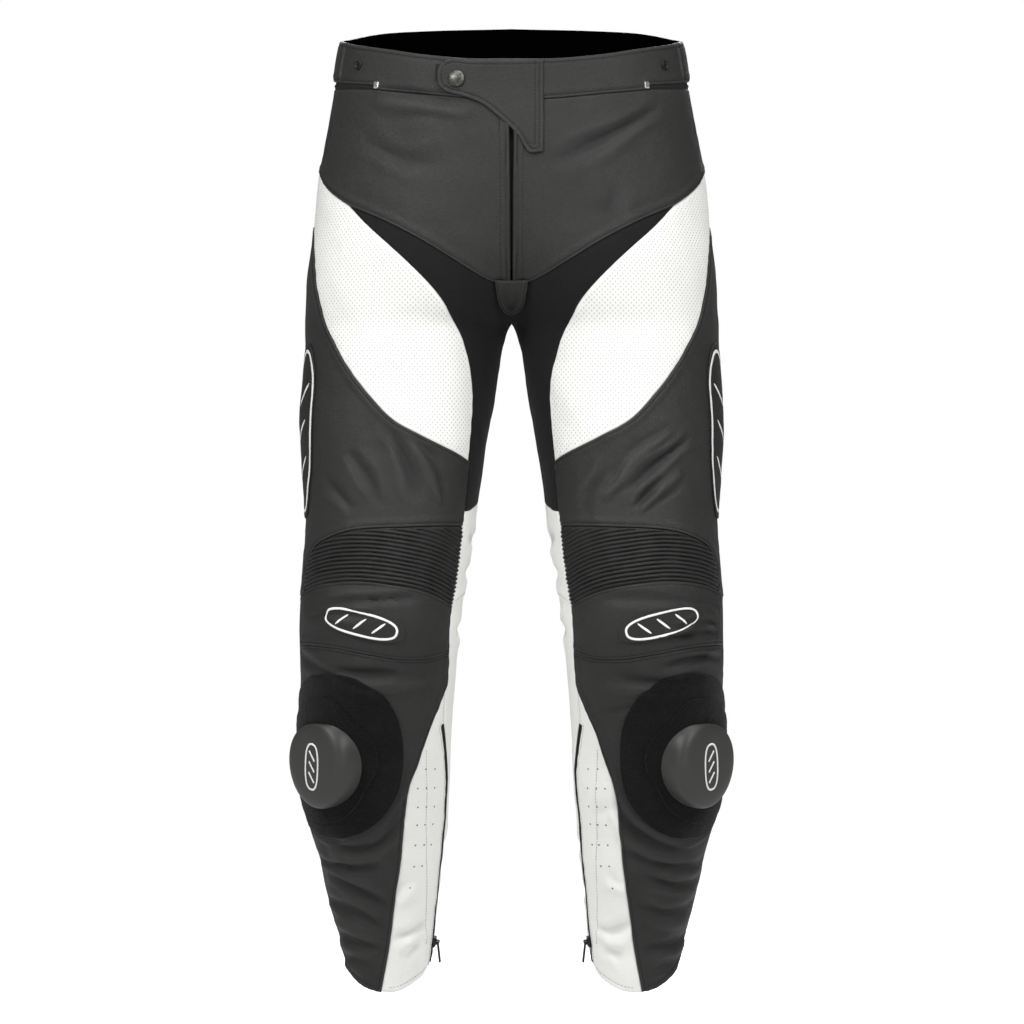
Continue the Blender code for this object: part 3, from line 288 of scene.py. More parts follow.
# Folds: the places they run through, half width and depth. A negative depth is a trough between two
# soft ridges, and a positive one is a ridge.
FRONT_FOLDS = {
    "left": (
        (((84, -135), (64, -109), (34, -68)), 6.5, -2.4),
        (((0, -72), (7, -132)), 6.0, -1.6),
        (((60, -150), (72, -196)), 9.0, -1.2),
        (((49, -416), (69, -439), (92, -470)), 5.0, -3.0),
        (((62, -410), (84, -436), (100, -462)), 5.0, 1.8),
        (((70, -458), (90, -492)), 4.5, -2.4),
        (((56, -452), (72, -474), (86, -494)), 4.5, 2.0),
        (((88, -450), (110, -482)), 5.0, 1.8),
        (((102, -446), (120, -478), (126, -498)), 6.0, -1.6),
        (((30, -590), (76, -585), (120, -583)), 4.5, -1.6),
        (((79, -629), (57.5, -622), (44, -618), (24, -620)), 3.8, -3.2),
        (((69, -617), (54, -611), (40, -608), (24, -611)), 3.6, -2.8),
        (((39, -588), (29.5, -601), (22.5, -619), (26, -634)), 3.4, 1.6),
        (((80, -656), (68, -652), (54, -648), (40, -645), (18, -647)), 4.0, -3.2),
        (((45, -664), (78, -671), (112, -668)), 5.5, -1.8),
        (((70, -680), (130, -674)), 6.0, 1.6),
        (((96, -694), (128, -704)), 6.0, -1.4),
        (((119, -788), (107, -822), (84, -843), (44, -851)), 5.0, -3.2),
        (((122, -806), (108, -836), (84, -857), (50, -863)), 4.5, 1.4),
        (((108, -850), (73, -867), (14, -864)), 5.0, -2.8),
        (((96, -872), (63, -887), (12, -883)), 5.0, -3.0),
        (((98, -908), (65, -917), (16, -910)), 5.5, -2.8),
        (((80, -932), (46, -932), (6, -924)), 5.0, 1.6),
        (((82, -957), (47, -953), (-4, -941)), 5.5, -3.0),
        (((20, -970), (70, -978)), 6.0, -1.6),
        (((94, -928), (126, -938), (150, -930)), 6.0, -2.2),
        (((104, -966), (140, -956)), 6.0, -1.9),
        (((104, -896), (134, -884)), 6.0, 1.5),
        (((112, -800), (146, -812)), 7.0, -1.0),
    ),
    "right": (
        (((40, -66), (60, -74), (79, -83)), 6.5, 2.2),
        (((12, -79), (10, -134)), 6.0, -1.7),
        (((36, -100), (58, -128), (76, -138)), 8.0, -1.4),
        (((86, -405), (100, -446), (110, -486)), 6.0, -2.2),
        (((98, -414), (114, -452), (126, -490)), 5.0, 1.9),
        (((60, -430), (76, -462), (84, -492)), 6.0, -1.8),
        (((40, -455), (66, -494)), 6.0, -1.5),
        (((40, -592), (80, -586), (118, -583)), 4.5, -2.0),
        (((50, -581), (76, -577), (104, -579)), 4.0, 1.3),
        (((30, -604), (58, -600), (84, -603)), 4.0, -1.4),
        (((53, -656), (80, -662), (107, -662)), 5.0, -2.8),
        (((66, -675), (100, -676), (133, -669)), 6.0, 1.8),
        (((5, -639), (34, -653), (60, -668)), 5.0, -1.9),
        (((38, -836), (63, -850), (94, -840), (113, -812)), 5.0, -2.8),
        (((36, -850), (64, -864), (96, -854)), 4.5, 1.3),
        (((0, -856), (44, -868), (94, -868)), 5.0, -2.8),
        (((26, -874), (64, -895), (98, -912)), 5.0, -3.0),
        (((0, -900), (38, -912), (66, -922), (92, -936)), 5.5, -3.0),
        (((10, -926), (44, -934), (76, -946)), 5.0, 1.6),
        (((0, -938), (36, -947), (62, -953), (90, -958)), 5.5, -2.6),
        (((0, -966), (40, -968), (76, -977)), 6.0, -1.9),
        (((96, -946), (124, -938), (147, -928)), 6.0, -2.4),
        (((112, -970), (145, -942)), 6.0, -1.7),
        (((106, -911), (129, -886)), 6.0, 1.8),
    ),
}
BACK_FOLDS = (
    (((-36, -92), (-70, -108)), 9.0, -2.1),
    (((-40, -262), (-72, -290), (-108, -300)), 8.0, -3.3),
    (((-50, -306), (-84, -326), (-118, -322)), 9.0, -2.7),
    (((-30, -340), (-60, -362)), 9.0, -1.8),
    (((-36, -540), (-80, -552), (-140, -540)), 7.0, -3.3),
    (((-30, -572), (-76, -580), (-120, -570)), 6.0, -2.7),
    (((-34, -608), (-84, -618), (-146, -606)), 7.5, -4.5),
    (((-24, -636), (-70, -646), (-116, -640)), 7.0, -3.6),
    (((-60, -668), (-100, -678), (-150, -664)), 8.0, -3.0),
    (((-30, -740), (-64, -762)), 9.0, -1.8),
    (((-24, -846), (-70, -836), (-128, -846)), 8.0, -3.0),
    (((-40, -878), (-90, -868), (-140, -882)), 7.0, -2.8),
    (((-20, -906), (-66, -900), (-120, -912)), 7.0, -2.5),
    (((180, -350), (192, -392)), 8.0, -1.8),
    (((160, -520), (190, -526)), 7.0, -2.1),
    (((166, -556), (198, -560)), 7.0, -2.1),
    (((162, -620), (196, -614)), 8.0, -2.4),
    (((172, -850), (196, -842)), 8.0, -2.0),
    (((176, -900), (198, -890)), 7.0, -2.1),
)


# ---------------------------------------------------------------- helpers
def normalized(vectors):
    """Vectors brought to a length of one."""
    return vectors / np.maximum(np.linalg.norm(vectors, axis=-1, keepdims=True), TINY)


def ahead_of(line, closed):
    """The direction of a line at each of its points."""
    return normalized(np.roll(line, -1, axis=0) - np.roll(line, 1, axis=0) if closed
                      else np.gradient(line, axis=0))


def tilted(across, up, degrees):
    """Flat points turned by an angle, from their two coordinates."""
    turn = math.radians(degrees)
    return np.column_stack((across * math.cos(turn) - up * math.sin(turn),
                            across * math.sin(turn) + up * math.cos(turn)))


def raised(points, normals, height):
    """Points moved out along their normals."""
    return points + normals * np.asarray(height)[..., None]


def place_grid(across, up):
    """A grid of places from its columns' and its rows' coordinates."""
    return np.stack(np.meshgrid(across, up, indexing="ij"), axis=-1)


# ---------------------------------------------------------------- the form
def smooth_rows(table, at):
    """Read a table at the given first-column values by a cubic through its rows."""
    rows = np.array(table, float)
    rows = rows[np.argsort(rows[:, 0])]
    keys, values = rows[:, 0], rows[:, 1:]
    slopes = np.gradient(values, keys, axis=0)
    at = np.clip(np.atleast_1d(np.asarray(at, float)), keys[0], keys[-1])
    low = np.clip(np.searchsorted(keys, at) - 1, 0, len(keys) - 2)
    span = (keys[low + 1] - keys[low])[:, None]
    t = ((at - keys[low]) / span[:, 0])[:, None]
    start, end = values[low], values[low + 1]
    return (start * (1 + 2 * t) * (1 - t) ** 2 + slopes[low] * span * t * (1 - t) ** 2
            + end * t * t * (3 - 2 * t) + slopes[low + 1] * span * t * t * (t - 1))


def ring_shape(height):
    """Middle x, half width, middle y, front and back depth, and valley fill at each height."""
    outer, inner, middle_y, front, back = smooth_rows(RINGS, height).T
    overlap = np.maximum(0.0, -inner - VALLEY_START)
    fill = np.minimum(VALLEY_MAX, VALLEY_SHARE * overlap) + 1e-6
    return (outer + inner) / 2, (outer - inner) / 2, middle_y, front, back, fill


def form_points(places):
    """Points of the left half at places: half ellipses in front and behind, whose valley between
    the legs is filled by an amount that fades with the distance from the middle plane."""
    places = np.asarray(places, float)
    middle_x, half, middle_y, front, back, fill = ring_shape(places[:, 1])
    angle = np.radians(places[:, 0])
    x = middle_x + half * np.cos(angle)
    eased = np.cos(angle) + fill / half * np.exp(-np.maximum(x, 0.0) / fill)
    depth = np.sqrt(np.maximum(0.0, 1 - np.clip(eased, -1, 1) ** 2))
    y = middle_y + np.where(np.sin(angle) >= 0, -front, back) * depth
    return np.column_stack((x, y, places[:, 1]))


def form_frame(places, mapping=form_points, nudge=(0.4, 0.6)):
    """Points and outward unit normals of a mapped surface, by small differences."""
    places = np.asarray(places, float)
    across, up = np.array((nudge[0], 0.0)), np.array((0.0, nudge[1]))
    around = mapping(places + across) - mapping(places - across)
    rising = mapping(places + up) - mapping(places - up)
    return mapping(places), normalized(np.cross(rising, around))


def middle_angle(height, x=0.0):
    """Angle at which the front of the ring at a height stands x from the middle plane."""
    middle_x, half = ring_shape(height)[:2]
    return float(np.degrees(np.arccos(np.clip((x - middle_x[0]) / half[0], -1, 1))))


def across_points(places):
    """Points of the whole front at (minus x, height) places, for pieces that span the middle."""
    places = np.asarray(places, float)
    middle_x, half = ring_shape(places[:, 1])[:2]
    sideways = np.abs(places[:, 0])
    angle = np.degrees(np.arccos(np.clip((sideways - middle_x) / half, -1, 1)))
    points = form_points(np.column_stack((angle, places[:, 1])))
    points[:, 0] = -places[:, 0]
    return points


def round_lengths():
    """Arc lengths from the outer side round the rings, on a table of heights and angles."""
    angles, heights = (np.arange(*row) for row in ROUND_TABLE)
    grid = np.stack(np.meshgrid(angles, heights), axis=-1)
    points = form_points(grid.reshape(-1, 2)).reshape(*grid.shape[:2], 3)
    steps = np.linalg.norm(np.diff(points, axis=1), axis=2)
    lengths = np.concatenate((np.zeros((len(heights), 1)), np.cumsum(steps, axis=1)), axis=1)
    return lengths - lengths[:, [int(np.argmin(abs(angles)))]]


ROUND = round_lengths()


def round_length(places):
    """Arc length from the outer side at each place: the table read between its nearest cells."""
    column, row = (np.clip((places[..., k] - start) / step, 0, ROUND.shape[1 - k] - 1.001)
                   for k, (start, _, step) in enumerate(ROUND_TABLE))
    low, left = row.astype(int), column.astype(int)
    up, over = row - low, column - left
    return ((ROUND[low, left] * (1 - over) + ROUND[low, left + 1] * over) * (1 - up)
            + (ROUND[low + 1, left] * (1 - over) + ROUND[low + 1, left + 1] * over) * up)


# ---------------------------------------------------------------- seams
def through(points, step=FINE, unit=FLAT_PER_DEGREE):
    """A smooth line through a few points, with its own points a step apart."""
    points = np.array(points, float)
    flat = points * (unit, 1.0)
    lengths = np.concatenate(([0.0], np.cumsum(np.linalg.norm(np.diff(flat, axis=0), axis=1))))
    count = max(2, round(lengths[-1] / step) + 1)
    if len(points) == 2:
        return points[0] + np.linspace(0, 1, count)[:, None] * (points[1] - points[0])
    line = smooth_rows(np.column_stack((lengths, points)), np.linspace(0, lengths[-1], count))
    line[0], line[-1] = points[0], points[-1]
    return line


def edge_height(table, angle):
    """Height of the rim or the hem at an angle."""
    return float(smooth_rows(table, angle)[0, 0])


def round_edge(table, start, end):
    """A stretch of the rim or the hem between two angles."""
    middle = [row[0] for row in table if min(start, end) + 6 < row[0] < max(start, end) - 6]
    angles = [start] + sorted(middle, reverse=start > end) + [end]
    return through([(angle, edge_height(table, angle)) for angle in angles])


def middle_line(top, foot, side=1, x=0.0, turn=0.0):
    """A line down the middle plane in front (side 1) or behind (side -1)."""
    heights = np.linspace(top, foot, max(2, round(abs(top - foot) / FINE) + 1))
    return np.array([(side * middle_angle(height, x) + turn, height) for height in heights])


def fly_edge():
    """The hip panel's edge at the fly: it leaves the middle and runs beside the slit."""
    heights = np.linspace(FLY_TOP - 8, FLY_FOOT + 6, 91)
    halves = np.interp(heights, *np.transpose(FLY_SLIT))
    slit = np.array([(middle_angle(height, x), height) for height, x in zip(heights, halves)])
    ends = [(middle_angle(height), height) for height in (FLY_TOP, FLY_FOOT)]
    return np.vstack((ends[0], slit, ends[1]))


def crotch_line():
    """The stretch panel's edge in the middle plane, from the fly under the crotch to the seat."""
    front = middle_line(FLY_FOOT, CROTCH + 8)
    behind = middle_line(CROTCH + 8, SEAT_FOOT, side=-1, turn=360.0)
    return np.vstack((front, ((180.0, CROTCH),), behind))


def hem_place(angle):
    """A place on the hem."""
    return angle, edge_height(HEM, angle)


def make_seams():
    """Every seam once, from named corner to named corner, shared by the panels beside it."""
    rim_side = (BAND_JOIN[0], edge_height(RIM, BAND_JOIN[0]))
    rim_back = (BAND_BACK_JOIN[0], edge_height(RIM, BAND_BACK_JOIN[0]))
    fly_top = (middle_angle(FLY_TOP), FLY_TOP)
    fly_foot = (middle_angle(FLY_FOOT), FLY_FOOT)
    seat_top = (-middle_angle(BAND_BACK_FOOT), BAND_BACK_FOOT)
    seat_foot = (-middle_angle(SEAT_FOOT), SEAT_FOOT)
    seat_foot_inside = (360 + seat_foot[0], SEAT_FOOT)
    seams = {
        "rim_front": round_edge(RIM, 90, BAND_JOIN[0]),
        "rim_side": round_edge(RIM, BAND_JOIN[0], BAND_BACK_JOIN[0]),
        "rim_back": round_edge(RIM, BAND_BACK_JOIN[0], -90),
        "band_front_end": middle_line(edge_height(RIM, 90), FLY_TOP),
        "band_side_join": through((rim_side, BAND_JOIN)),
        "band_back_join": through((rim_back, BAND_BACK_JOIN)),
        "band_back_end": middle_line(edge_height(RIM, -90), BAND_BACK_FOOT, side=-1),
        "band_foot_front": through((fly_top, (80, -66.5), (60, -60.5), ZIP_END_LOW)),
        "zip_end": through((ZIP_END_LOW, ZIP_END_TOP)),
        "band_foot_zip": through((ZIP_END_TOP, BAND_JOIN)),
        "band_foot_side": through((BAND_JOIN, (0, -43.5), SIDE_BAND)),
        "band_foot_hip": through((SIDE_BAND, (-30, -36.5), BAND_BACK_JOIN)),
        "band_foot_back": through((BAND_BACK_JOIN, (-70, -27.5), seat_top)),
        "zip_foot": through((ZIP_END_LOW, (15, -52.3), SIDE_HIP)),
        "zip_side": through((SIDE_BAND, SIDE_HIP)),
        "side_hip": through((SIDE_HIP, SIDE_WHITE_TOP)),
        "side_white": through((SIDE_WHITE_TOP, SIDE_WHITE_LOW)),
        "side_seat": through((SIDE_WHITE_LOW, SIDE_SEAT)),
        "side_thigh": through((SIDE_SEAT, (-12, -340), (-12, -430), (-8, -480), (0, -530),
                               CUP_SIDE)),
        "side_cup": through((CUP_SIDE, SHIN_SIDE)),
        "side_shin": through((SHIN_SIDE, (2, -670), (-12, -720), (-15, -780), (-12, -860),
                              hem_place(HEM_SIDE_ANGLE))),
        "fly_edge": fly_edge(),
        "hip_side": through((SIDE_WHITE_TOP, (0, -138), (9, -143), (17, -152), (25, -161),
                             HIP_TIP)),
        "hip_low": through((HIP_TIP, (56, -191), (76, -213), (92, -232), (115, -254), fly_foot)),
        "white_inner": through((HIP_TIP, (48, -193), (64, -219), (83, -249), (96, -268.5),
                                (108, -286), (121.5, -305), (130.5, -329), (136.5, -352),
                                (141, -373), (145, -405), WHITE_TIP)),
        "white_outer": through((SIDE_WHITE_LOW, (4, -199), (16, -227), (25, -262), (33, -287),
                                (44, -313), (57, -343), (74, -375), (90, -400), (107, -415),
                                WHITE_TIP)),
        "stretch_front": through((WHITE_TIP, (149, -465), STRETCH_CORNER)),
        "crotch": crotch_line(),
        "stretch_back": through((seat_foot_inside, (221, -287), (211, -325), (206, -385),
                                 STRETCH_BACK)),
        "stretch_hem": through((STRETCH_CORNER, (158, -493), (167, -489), (182, -486),
                                STRETCH_BACK)),
        "knee_white_front": through((STRETCH_CORNER, RIB_INNER)),
        "seat_middle": middle_line(BAND_BACK_FOOT, SEAT_FOOT, side=-1),
        "seat_low": through((seat_foot, (-115, -284), (-90, -297), (-60, -291), (-30, -270),
                             SIDE_SEAT)),
        "knee_white_back": through((STRETCH_BACK, CUP_BACK)),
        "calf_white_back": through((CUP_BACK, (204, -700), (203, -820),
                                    hem_place(HEM_BACK_ANGLE))),
        "knee_back": through((CUP_SIDE, (-30, -592), (-90, -600), (-130, -592),
                              (CUP_BACK[0] - 360, CUP_BACK[1]))),
        "rib_top": through((RIB_INNER, (125, -509), (102, -510), (81, -511), (63, -514),
                            (44, -522), (30, -531), (22, -546), (19, -562), RIB_OUTER)),
        "rib_inner": through((RIB_INNER, (151, -542), (152, -568), CUP_INNER)),
        "cup_top": through((RIB_OUTER, (45, -569), (71, -566), (98, -570), (122, -577),
                            CUP_INNER)),
        "cup_corner": through((RIB_OUTER, CUP_SIDE)),
        "cup_inner": through((CUP_INNER, (152, -615), SHIN_INNER)),
        "cup_low": through((SHIN_SIDE, (32, -633), (59, -636), (83, -642), (107, -647),
                            (133, -646), SHIN_INNER)),
        "knee_white_low": through((CUP_INNER, (165, -585), (182, -581), CUP_BACK)),
        "shin_top": through((SHIN_INNER, CALF_TIP)),
        "shin_inner": through((CALF_TIP, (147, -694), (135, -724), (127, -752), (117, -786),
                               (114, -815), (112, -836), (109, -862), (104, -901), (96, -941),
                               hem_place(HEM_SHIN_ANGLE))),
        "calf_seam": through((CALF_TIP, ZIP_TOP_BACK)),
        "zip_top": through((ZIP_TOP_BACK, ZIP_TOP_FRONT)),
        "zip_front": through((ZIP_TOP_FRONT, (158, -745), (162, -775), (163.5, -810),
                              (165.5, -860), (166.5, -920), (164.5, -950),
                              hem_place(HEM_ZIP_FRONT))),
        "zip_back": through((ZIP_TOP_BACK, (164, -745), (168.5, -775), (170, -810),
                             (172, -860), (172.5, -920), (171, -950),
                             hem_place(HEM_ZIP_BACK))),
        "hem_shin": round_edge(HEM, HEM_SIDE_ANGLE, HEM_SHIN_ANGLE),
        "hem_calf": round_edge(HEM, HEM_SHIN_ANGLE, HEM_ZIP_FRONT),
        "hem_zip": round_edge(HEM, HEM_ZIP_FRONT, HEM_ZIP_BACK),
        "hem_inside": round_edge(HEM, HEM_ZIP_BACK, HEM_BACK_ANGLE),
        "hem_back": round_edge(HEM, HEM_BACK_ANGLE - 360, HEM_SIDE_ANGLE),
    }
    split = nearest(seams["rib_top"], RIB_SPLIT)
    seams["rib_top_front"] = seams["rib_top"][:split + 1]
    seams["rib_top_side"] = seams["rib_top"][split:]
    return seams


def nearest(line, place):
    """Index of the point of a line that lies nearest to a place."""
    return int(np.argmin(np.linalg.norm(line - place, axis=1)))


def side_line(seams, route, point=None):
    """One side of a panel, seam after seam, or a point where it has none."""
    if not route:
        return np.array((point, point))
    stretches = []
    for word in route.split():
        line = seams[word.lstrip("-~")]
        line = line[::-1] if word.startswith("-") else line
        line = line - (360.0, 0.0) if word.startswith("~") else line
        stretches.append(line[1:] if stretches else line)
    return np.vstack(stretches)


SEAMS = make_seams()


# ---------------------------------------------------------------- grids
def lengths_along(points):
    """Length run along a row of points, from its start."""
    steps = np.linalg.norm(np.diff(points, axis=0), axis=1)
    return np.concatenate(([0.0], np.cumsum(steps)))


def shares(length, step, inset=0.0):
    """Shares of a length from 0 to 1: close together at both ends, where the edges roll."""
    near = inset + np.array(EDGE_ROWS)
    if length < 4 * near[-1]:
        return np.linspace(inset / length, 1 - inset / length, max(5, round(length / 1.2)))
    count = max(2, round((length - 2 * near[-1]) / step) + 1)
    middle = np.linspace(near[-1], length - near[-1], count)
    return np.concatenate((near[:-1], middle, length - near[-2::-1])) / length


def coons(sides, u, v, mapping=form_points):
    """Places between four sides: each point blends the sides by its shares, less the corners."""
    first, second, third, fourth = sides
    third, fourth = third[::-1], fourth[::-1]

    def at(line, share):
        run = lengths_along(mapping(line))
        if run[-1] < 1e-6:
            return np.repeat(line[:1], len(share), axis=0)
        return np.column_stack([np.interp(share * run[-1], run, line[:, k]) for k in (0, 1)])

    low, high = at(first, u)[:, None], at(third, u)[:, None]
    left, right = at(fourth, v)[None], at(second, v)[None]
    s, t = u[:, None, None], v[None, :, None]
    corners = ((1 - s) * (1 - t) * first[0] + s * (1 - t) * first[-1]
               + s * t * third[-1] + (1 - s) * t * third[0])
    return (1 - t) * low + t * high + (1 - s) * left + s * right - corners


def panel_places(sides, step_u, step_v, mapping=form_points, inset=0.0):
    """A grid of places over a panel, from its four sides and its two steps."""
    run = [lengths_along(mapping(line))[-1] for line in sides]
    return coons(sides, shares(max(run[0], run[2]), step_u, inset),
                 shares(max(run[1], run[3]), step_v, inset), mapping)


def on_grid(places, mapping=form_points):
    """Points and normals of a mapped surface over a grid of places."""
    points, normals = form_frame(places.reshape(-1, 2), mapping)
    if mapping is form_points:
        normals[:, 0] *= smooth(points[:, 0], 0.0, 1.5)
        normals = normalized(normals)
    return points.reshape(*places.shape[:2], 3), normals.reshape(*places.shape[:2], 3)


def turned_to(side, grid):
    """A grid with its rows along one of its four sides, and its columns running inwards."""
    if side == 0:
        return grid
    if side == 2:
        return grid[:, ::-1]
    swapped = np.swapaxes(grid, 0, 1)
    return swapped[:, ::-1] if side == 1 else swapped


def distance_to(points, line):
    """Distance of every point from a line of points: to its nearest point, then to the pieces of
    the line on both sides of that."""
    if np.ptp(line, axis=0).max() < 1e-6:
        return np.linalg.norm(points - line[0], axis=1)
    middle = line.mean(axis=0)
    points, line = points - middle, line - middle
    nearby = (line ** 2).sum(axis=1)[None] - 2 * points @ line.T
    index = nearby.argmin(axis=1)
    best = np.full(len(points), np.inf)
    for step in (-1, 0):
        start = np.clip(index + step, 0, len(line) - 2)
        along = line[start + 1] - line[start]
        away = points - line[start]
        share = (away * along).sum(axis=1) / np.maximum((along ** 2).sum(axis=1), 1e-12)
        away = away - along * np.clip(share, 0, 1)[:, None]
        best = np.minimum(best, np.linalg.norm(away, axis=1))
    return best


def reaches(points, sides, mapping=form_points):
    """Distance of every grid point from each of the four sides."""
    flat = points.reshape(-1, 3)
    return [distance_to(flat, mapping(line)).reshape(points.shape[:2]) for line in sides]


# ---------------------------------------------------------------- relief
def smooth(value, low, high):
    """An even rise from 0 at low to 1 at high."""
    t = np.clip((value - low) / (high - low), 0, 1)
    return t * t * (3 - 2 * t)


def waves(points, length, seed, count=10):
    """Soft unevenness: the sum of sine waves that run in seeded directions, with wavelengths
    spread about a length, over the root of their number."""
    random = np.random.default_rng(seed)
    ways = normalized(random.normal(size=(count, 3)))
    runs = length * random.uniform(0.65, 1.7, count)
    phases = random.uniform(0, 2 * math.pi, count)
    return np.sin(points @ (ways / runs[:, None]).T * 2 * math.pi + phases).sum(axis=-1) \
        / math.sqrt(count)


def fold_relief(places, folds, depth_share):
    """Height of the folds: across each, a bell of its depth between two softer ones of the other
    sign, and along it, a taper to nothing at both ends."""
    flat = places.reshape(-1, 2)
    relief = np.zeros(len(flat))
    for number, (path, width, depth) in enumerate(folds):
        line = through(path, 3.0)
        height = line[:, 1].mean()
        _, half, _, front, back, _ = ring_shape(height)
        unit = float(math.radians(1) * np.sqrt((half ** 2 + ((front + back) / 2) ** 2) / 2)[0])
        turn = (flat[:, 0] - line[:, 0].mean() + 180) % 360 - 180 + line[:, 0].mean()
        spread = 4 * width
        low, high = line.min(axis=0), line.max(axis=0)
        near = ((turn > low[0] - spread / unit) & (turn < high[0] + spread / unit)
                & (flat[:, 1] > low[1] - spread) & (flat[:, 1] < high[1] + spread))
        if not near.any():
            continue
        at = np.column_stack((turn[near] * unit, flat[near, 1]))
        path_points = line * (unit, 1.0)
        gap = at[:, None] - path_points[None]
        distance = np.linalg.norm(gap, axis=2)
        index = distance.argmin(axis=1)
        share = index / (len(line) - 1)
        ahead = np.gradient(path_points, axis=0)[index]
        sign = np.sign(ahead[:, 0] * gap[np.arange(len(at)), index, 1]
                       - ahead[:, 1] * gap[np.arange(len(at)), index, 0])
        taper = np.clip(np.sin(math.pi * share), 0, 1) ** 0.7
        wide = width * (0.95 + 0.2 * np.sin(2.1 * share * math.pi + number))
        x = distance[np.arange(len(at)), index] / np.maximum(wide, 0.5 * width)
        lean = 0.3 * math.sin(1.7 * number + 0.6)
        bell = np.exp(-x ** 2) - (0.42 + lean * sign * 0.6) * np.exp(-(x - 1.9) ** 2 / 0.9)
        relief[near] += depth * depth_share * taper * bell
    return relief.reshape(places.shape[:-1])


def body_relief(places, points, side, settings):
    """What every layer shares at a place: folds and soft unevenness."""
    return relief_and_folds(places, points, side, settings)[0]


def relief_and_folds(places, points, side, settings):
    """Folds with soft unevenness, and the folds alone, both calm at the middle plane, at the
    waistband and under the hard fittings."""
    height = places[..., 1]
    uneven = np.interp(-height, *np.transpose(UNEVENNESS))
    relief = uneven * (0.75 * waves(points, 85, 11) + 0.3 * waves(points, 30, 12)
                       + 0.1 * waves(points, 13, 13))
    folded = fold_relief(places, FRONT_FOLDS[side] + BACK_FOLDS, settings.fold_depth)
    calm = np.maximum(smooth(abs(points[..., 0]), 3, 26), smooth(CROTCH - height, 0, 30))
    for place, near, far, unit in CALM:
        away = np.hypot((places[..., 0] - place[0]) * unit, height - place[1])
        calm = calm * smooth(away, near, far)
    return (relief + folded) * calm, folded * calm


def edge_relief(reach, styles, points, settings):
    """How a panel ends at its seams: lifted over a neighbour, rolled down in a quarter circle,
    drawn in along its stitch lines and puckered between them and the edge. Also how hollow each
    point is, which the materials darken as painted shade."""
    lift, roll, drawn, sewn = 0.0, 0.0, 0.0, 0.0
    for distance, style in zip(reach, styles):
        height, depth, width, lines = STYLES[style]
        lift = np.maximum(lift, height * (1 - smooth(distance, 5, 12))) if height > 0 \
            else lift + height * (1 - smooth(distance, 1, 5))
        t = np.clip(1 - distance / width, 0, 1)
        roll = np.maximum(roll, depth * (1 - np.sqrt(1 - t * t)))
        for line in lines:
            sewn = sewn + np.exp(-((distance - line) / 0.85) ** 2)
        if style != "none":
            drawn = drawn + settings.pucker * 0.5 * (1 + waves(points, 8.5, 21)) \
                * np.exp(-(distance / 7.0) ** 2)
    return lift - roll - drawn - 0.5 * sewn, np.clip(0.9 * roll + 0.75 * sewn, 0, 2)


def rib_relief(places, reach, points, settings):
    """Ribs that follow the cup's top seam: rounded ridges between narrow valleys, each a little
    different, flattened only where the panel is sewn in at its top and foot."""
    order = np.argsort(SEAMS["cup_top"][:, 0])
    foot = np.interp(places[..., 0], SEAMS["cup_top"][order, 0], SEAMS["cup_top"][order, 1])
    phase = (places[..., 1] - foot) / settings.rib_pitch
    phase = phase + 0.05 * waves(points, 40, 31)
    rib = np.floor(phase)
    uneven = 1 + 0.14 * np.sin(rib * 2.4 + 0.7) + 0.12 * waves(points, 22, 32)
    ridge = np.abs(np.sin(math.pi * phase)) ** 0.75
    sewn = smooth(np.minimum(np.minimum(reach[0], reach[1]), reach[2]), 0.3, 2.6)
    return settings.rib_depth * uneven * (ridge - 0.35) * sewn


def cup_relief(places, reach, points, settings):
    """The knee cup stands out in its middle, drawn in at its seams."""
    return CUP_FULLNESS * smooth(np.minimum.reduce(reach), 2, 34)


def band_relief(places, reach, points, settings):
    """The waistband is a little full between its rim and its foot."""
    return 0.9 * smooth(np.minimum(reach[0], reach[2]), 1, 13)


def side_band_relief(places, reach, points, settings):
    """The elastic side of the waistband stands out from the seam in front of it."""
    full = np.clip(np.minimum(reach[0], reach[2]) / 17, 0, 1)
    return 3.4 * np.sqrt(1 - (1 - full) ** 2) * smooth(reach[3], 0.4, 4) * smooth(reach[1], 0.4, 6)


def slit_relief(places, reach, points, settings):
    """The fly's lips: a soft roll beside the slit and a crease between it and its facing."""
    gap = reach[3]
    return (0.8 * np.exp(-((gap - 2.2) / 1.5) ** 2) - 1.3 * np.exp(-((gap - 4.6) / 0.8) ** 2)) \
        * smooth(-places[..., 1], 66, 78)


def shin_relief(places, reach, points, settings):
    """The leather is drawn in round the loop patch and stands up in a lip outside that, most at
    its foot."""
    across, up = (places[..., k] - PATCH_PLACE[k] for k in (0, 1))
    gap = (np.hypot(across / PATCH_SIZE[0], up / PATCH_SIZE[1]) - 1) * PATCH_SIZE[1]
    low = smooth(-up, -10, 50)
    return low * (1.5 * np.exp(-((gap - 8.5) / 2.6) ** 2) - 1.2 * np.exp(-((gap - 3.2) / 2.2) ** 2)
                  - 0.9 * np.exp(-((gap - 13.5) / 2.4) ** 2))


OWN_RELIEF = {"hip_front": slit_relief, "shin_front": shin_relief, "knee_ribs": rib_relief,
              "knee_cup": cup_relief, "band_front": band_relief, "band_side": side_band_relief,
              "band_back": band_relief}


# ---------------------------------------------------------------- meshes
def grid_faces(index):
    """Quads between the rows and columns of a grid of vertex numbers."""
    return np.stack((index[:-1, :-1], index[1:, :-1], index[1:, 1:], index[:-1, 1:]),
                    axis=-1).reshape(-1, 4)


def strip_faces(top, under):
    """Quads between two rows of vertex numbers."""
    return np.stack((top[:-1], under[:-1], under[1:], top[1:]), axis=-1)


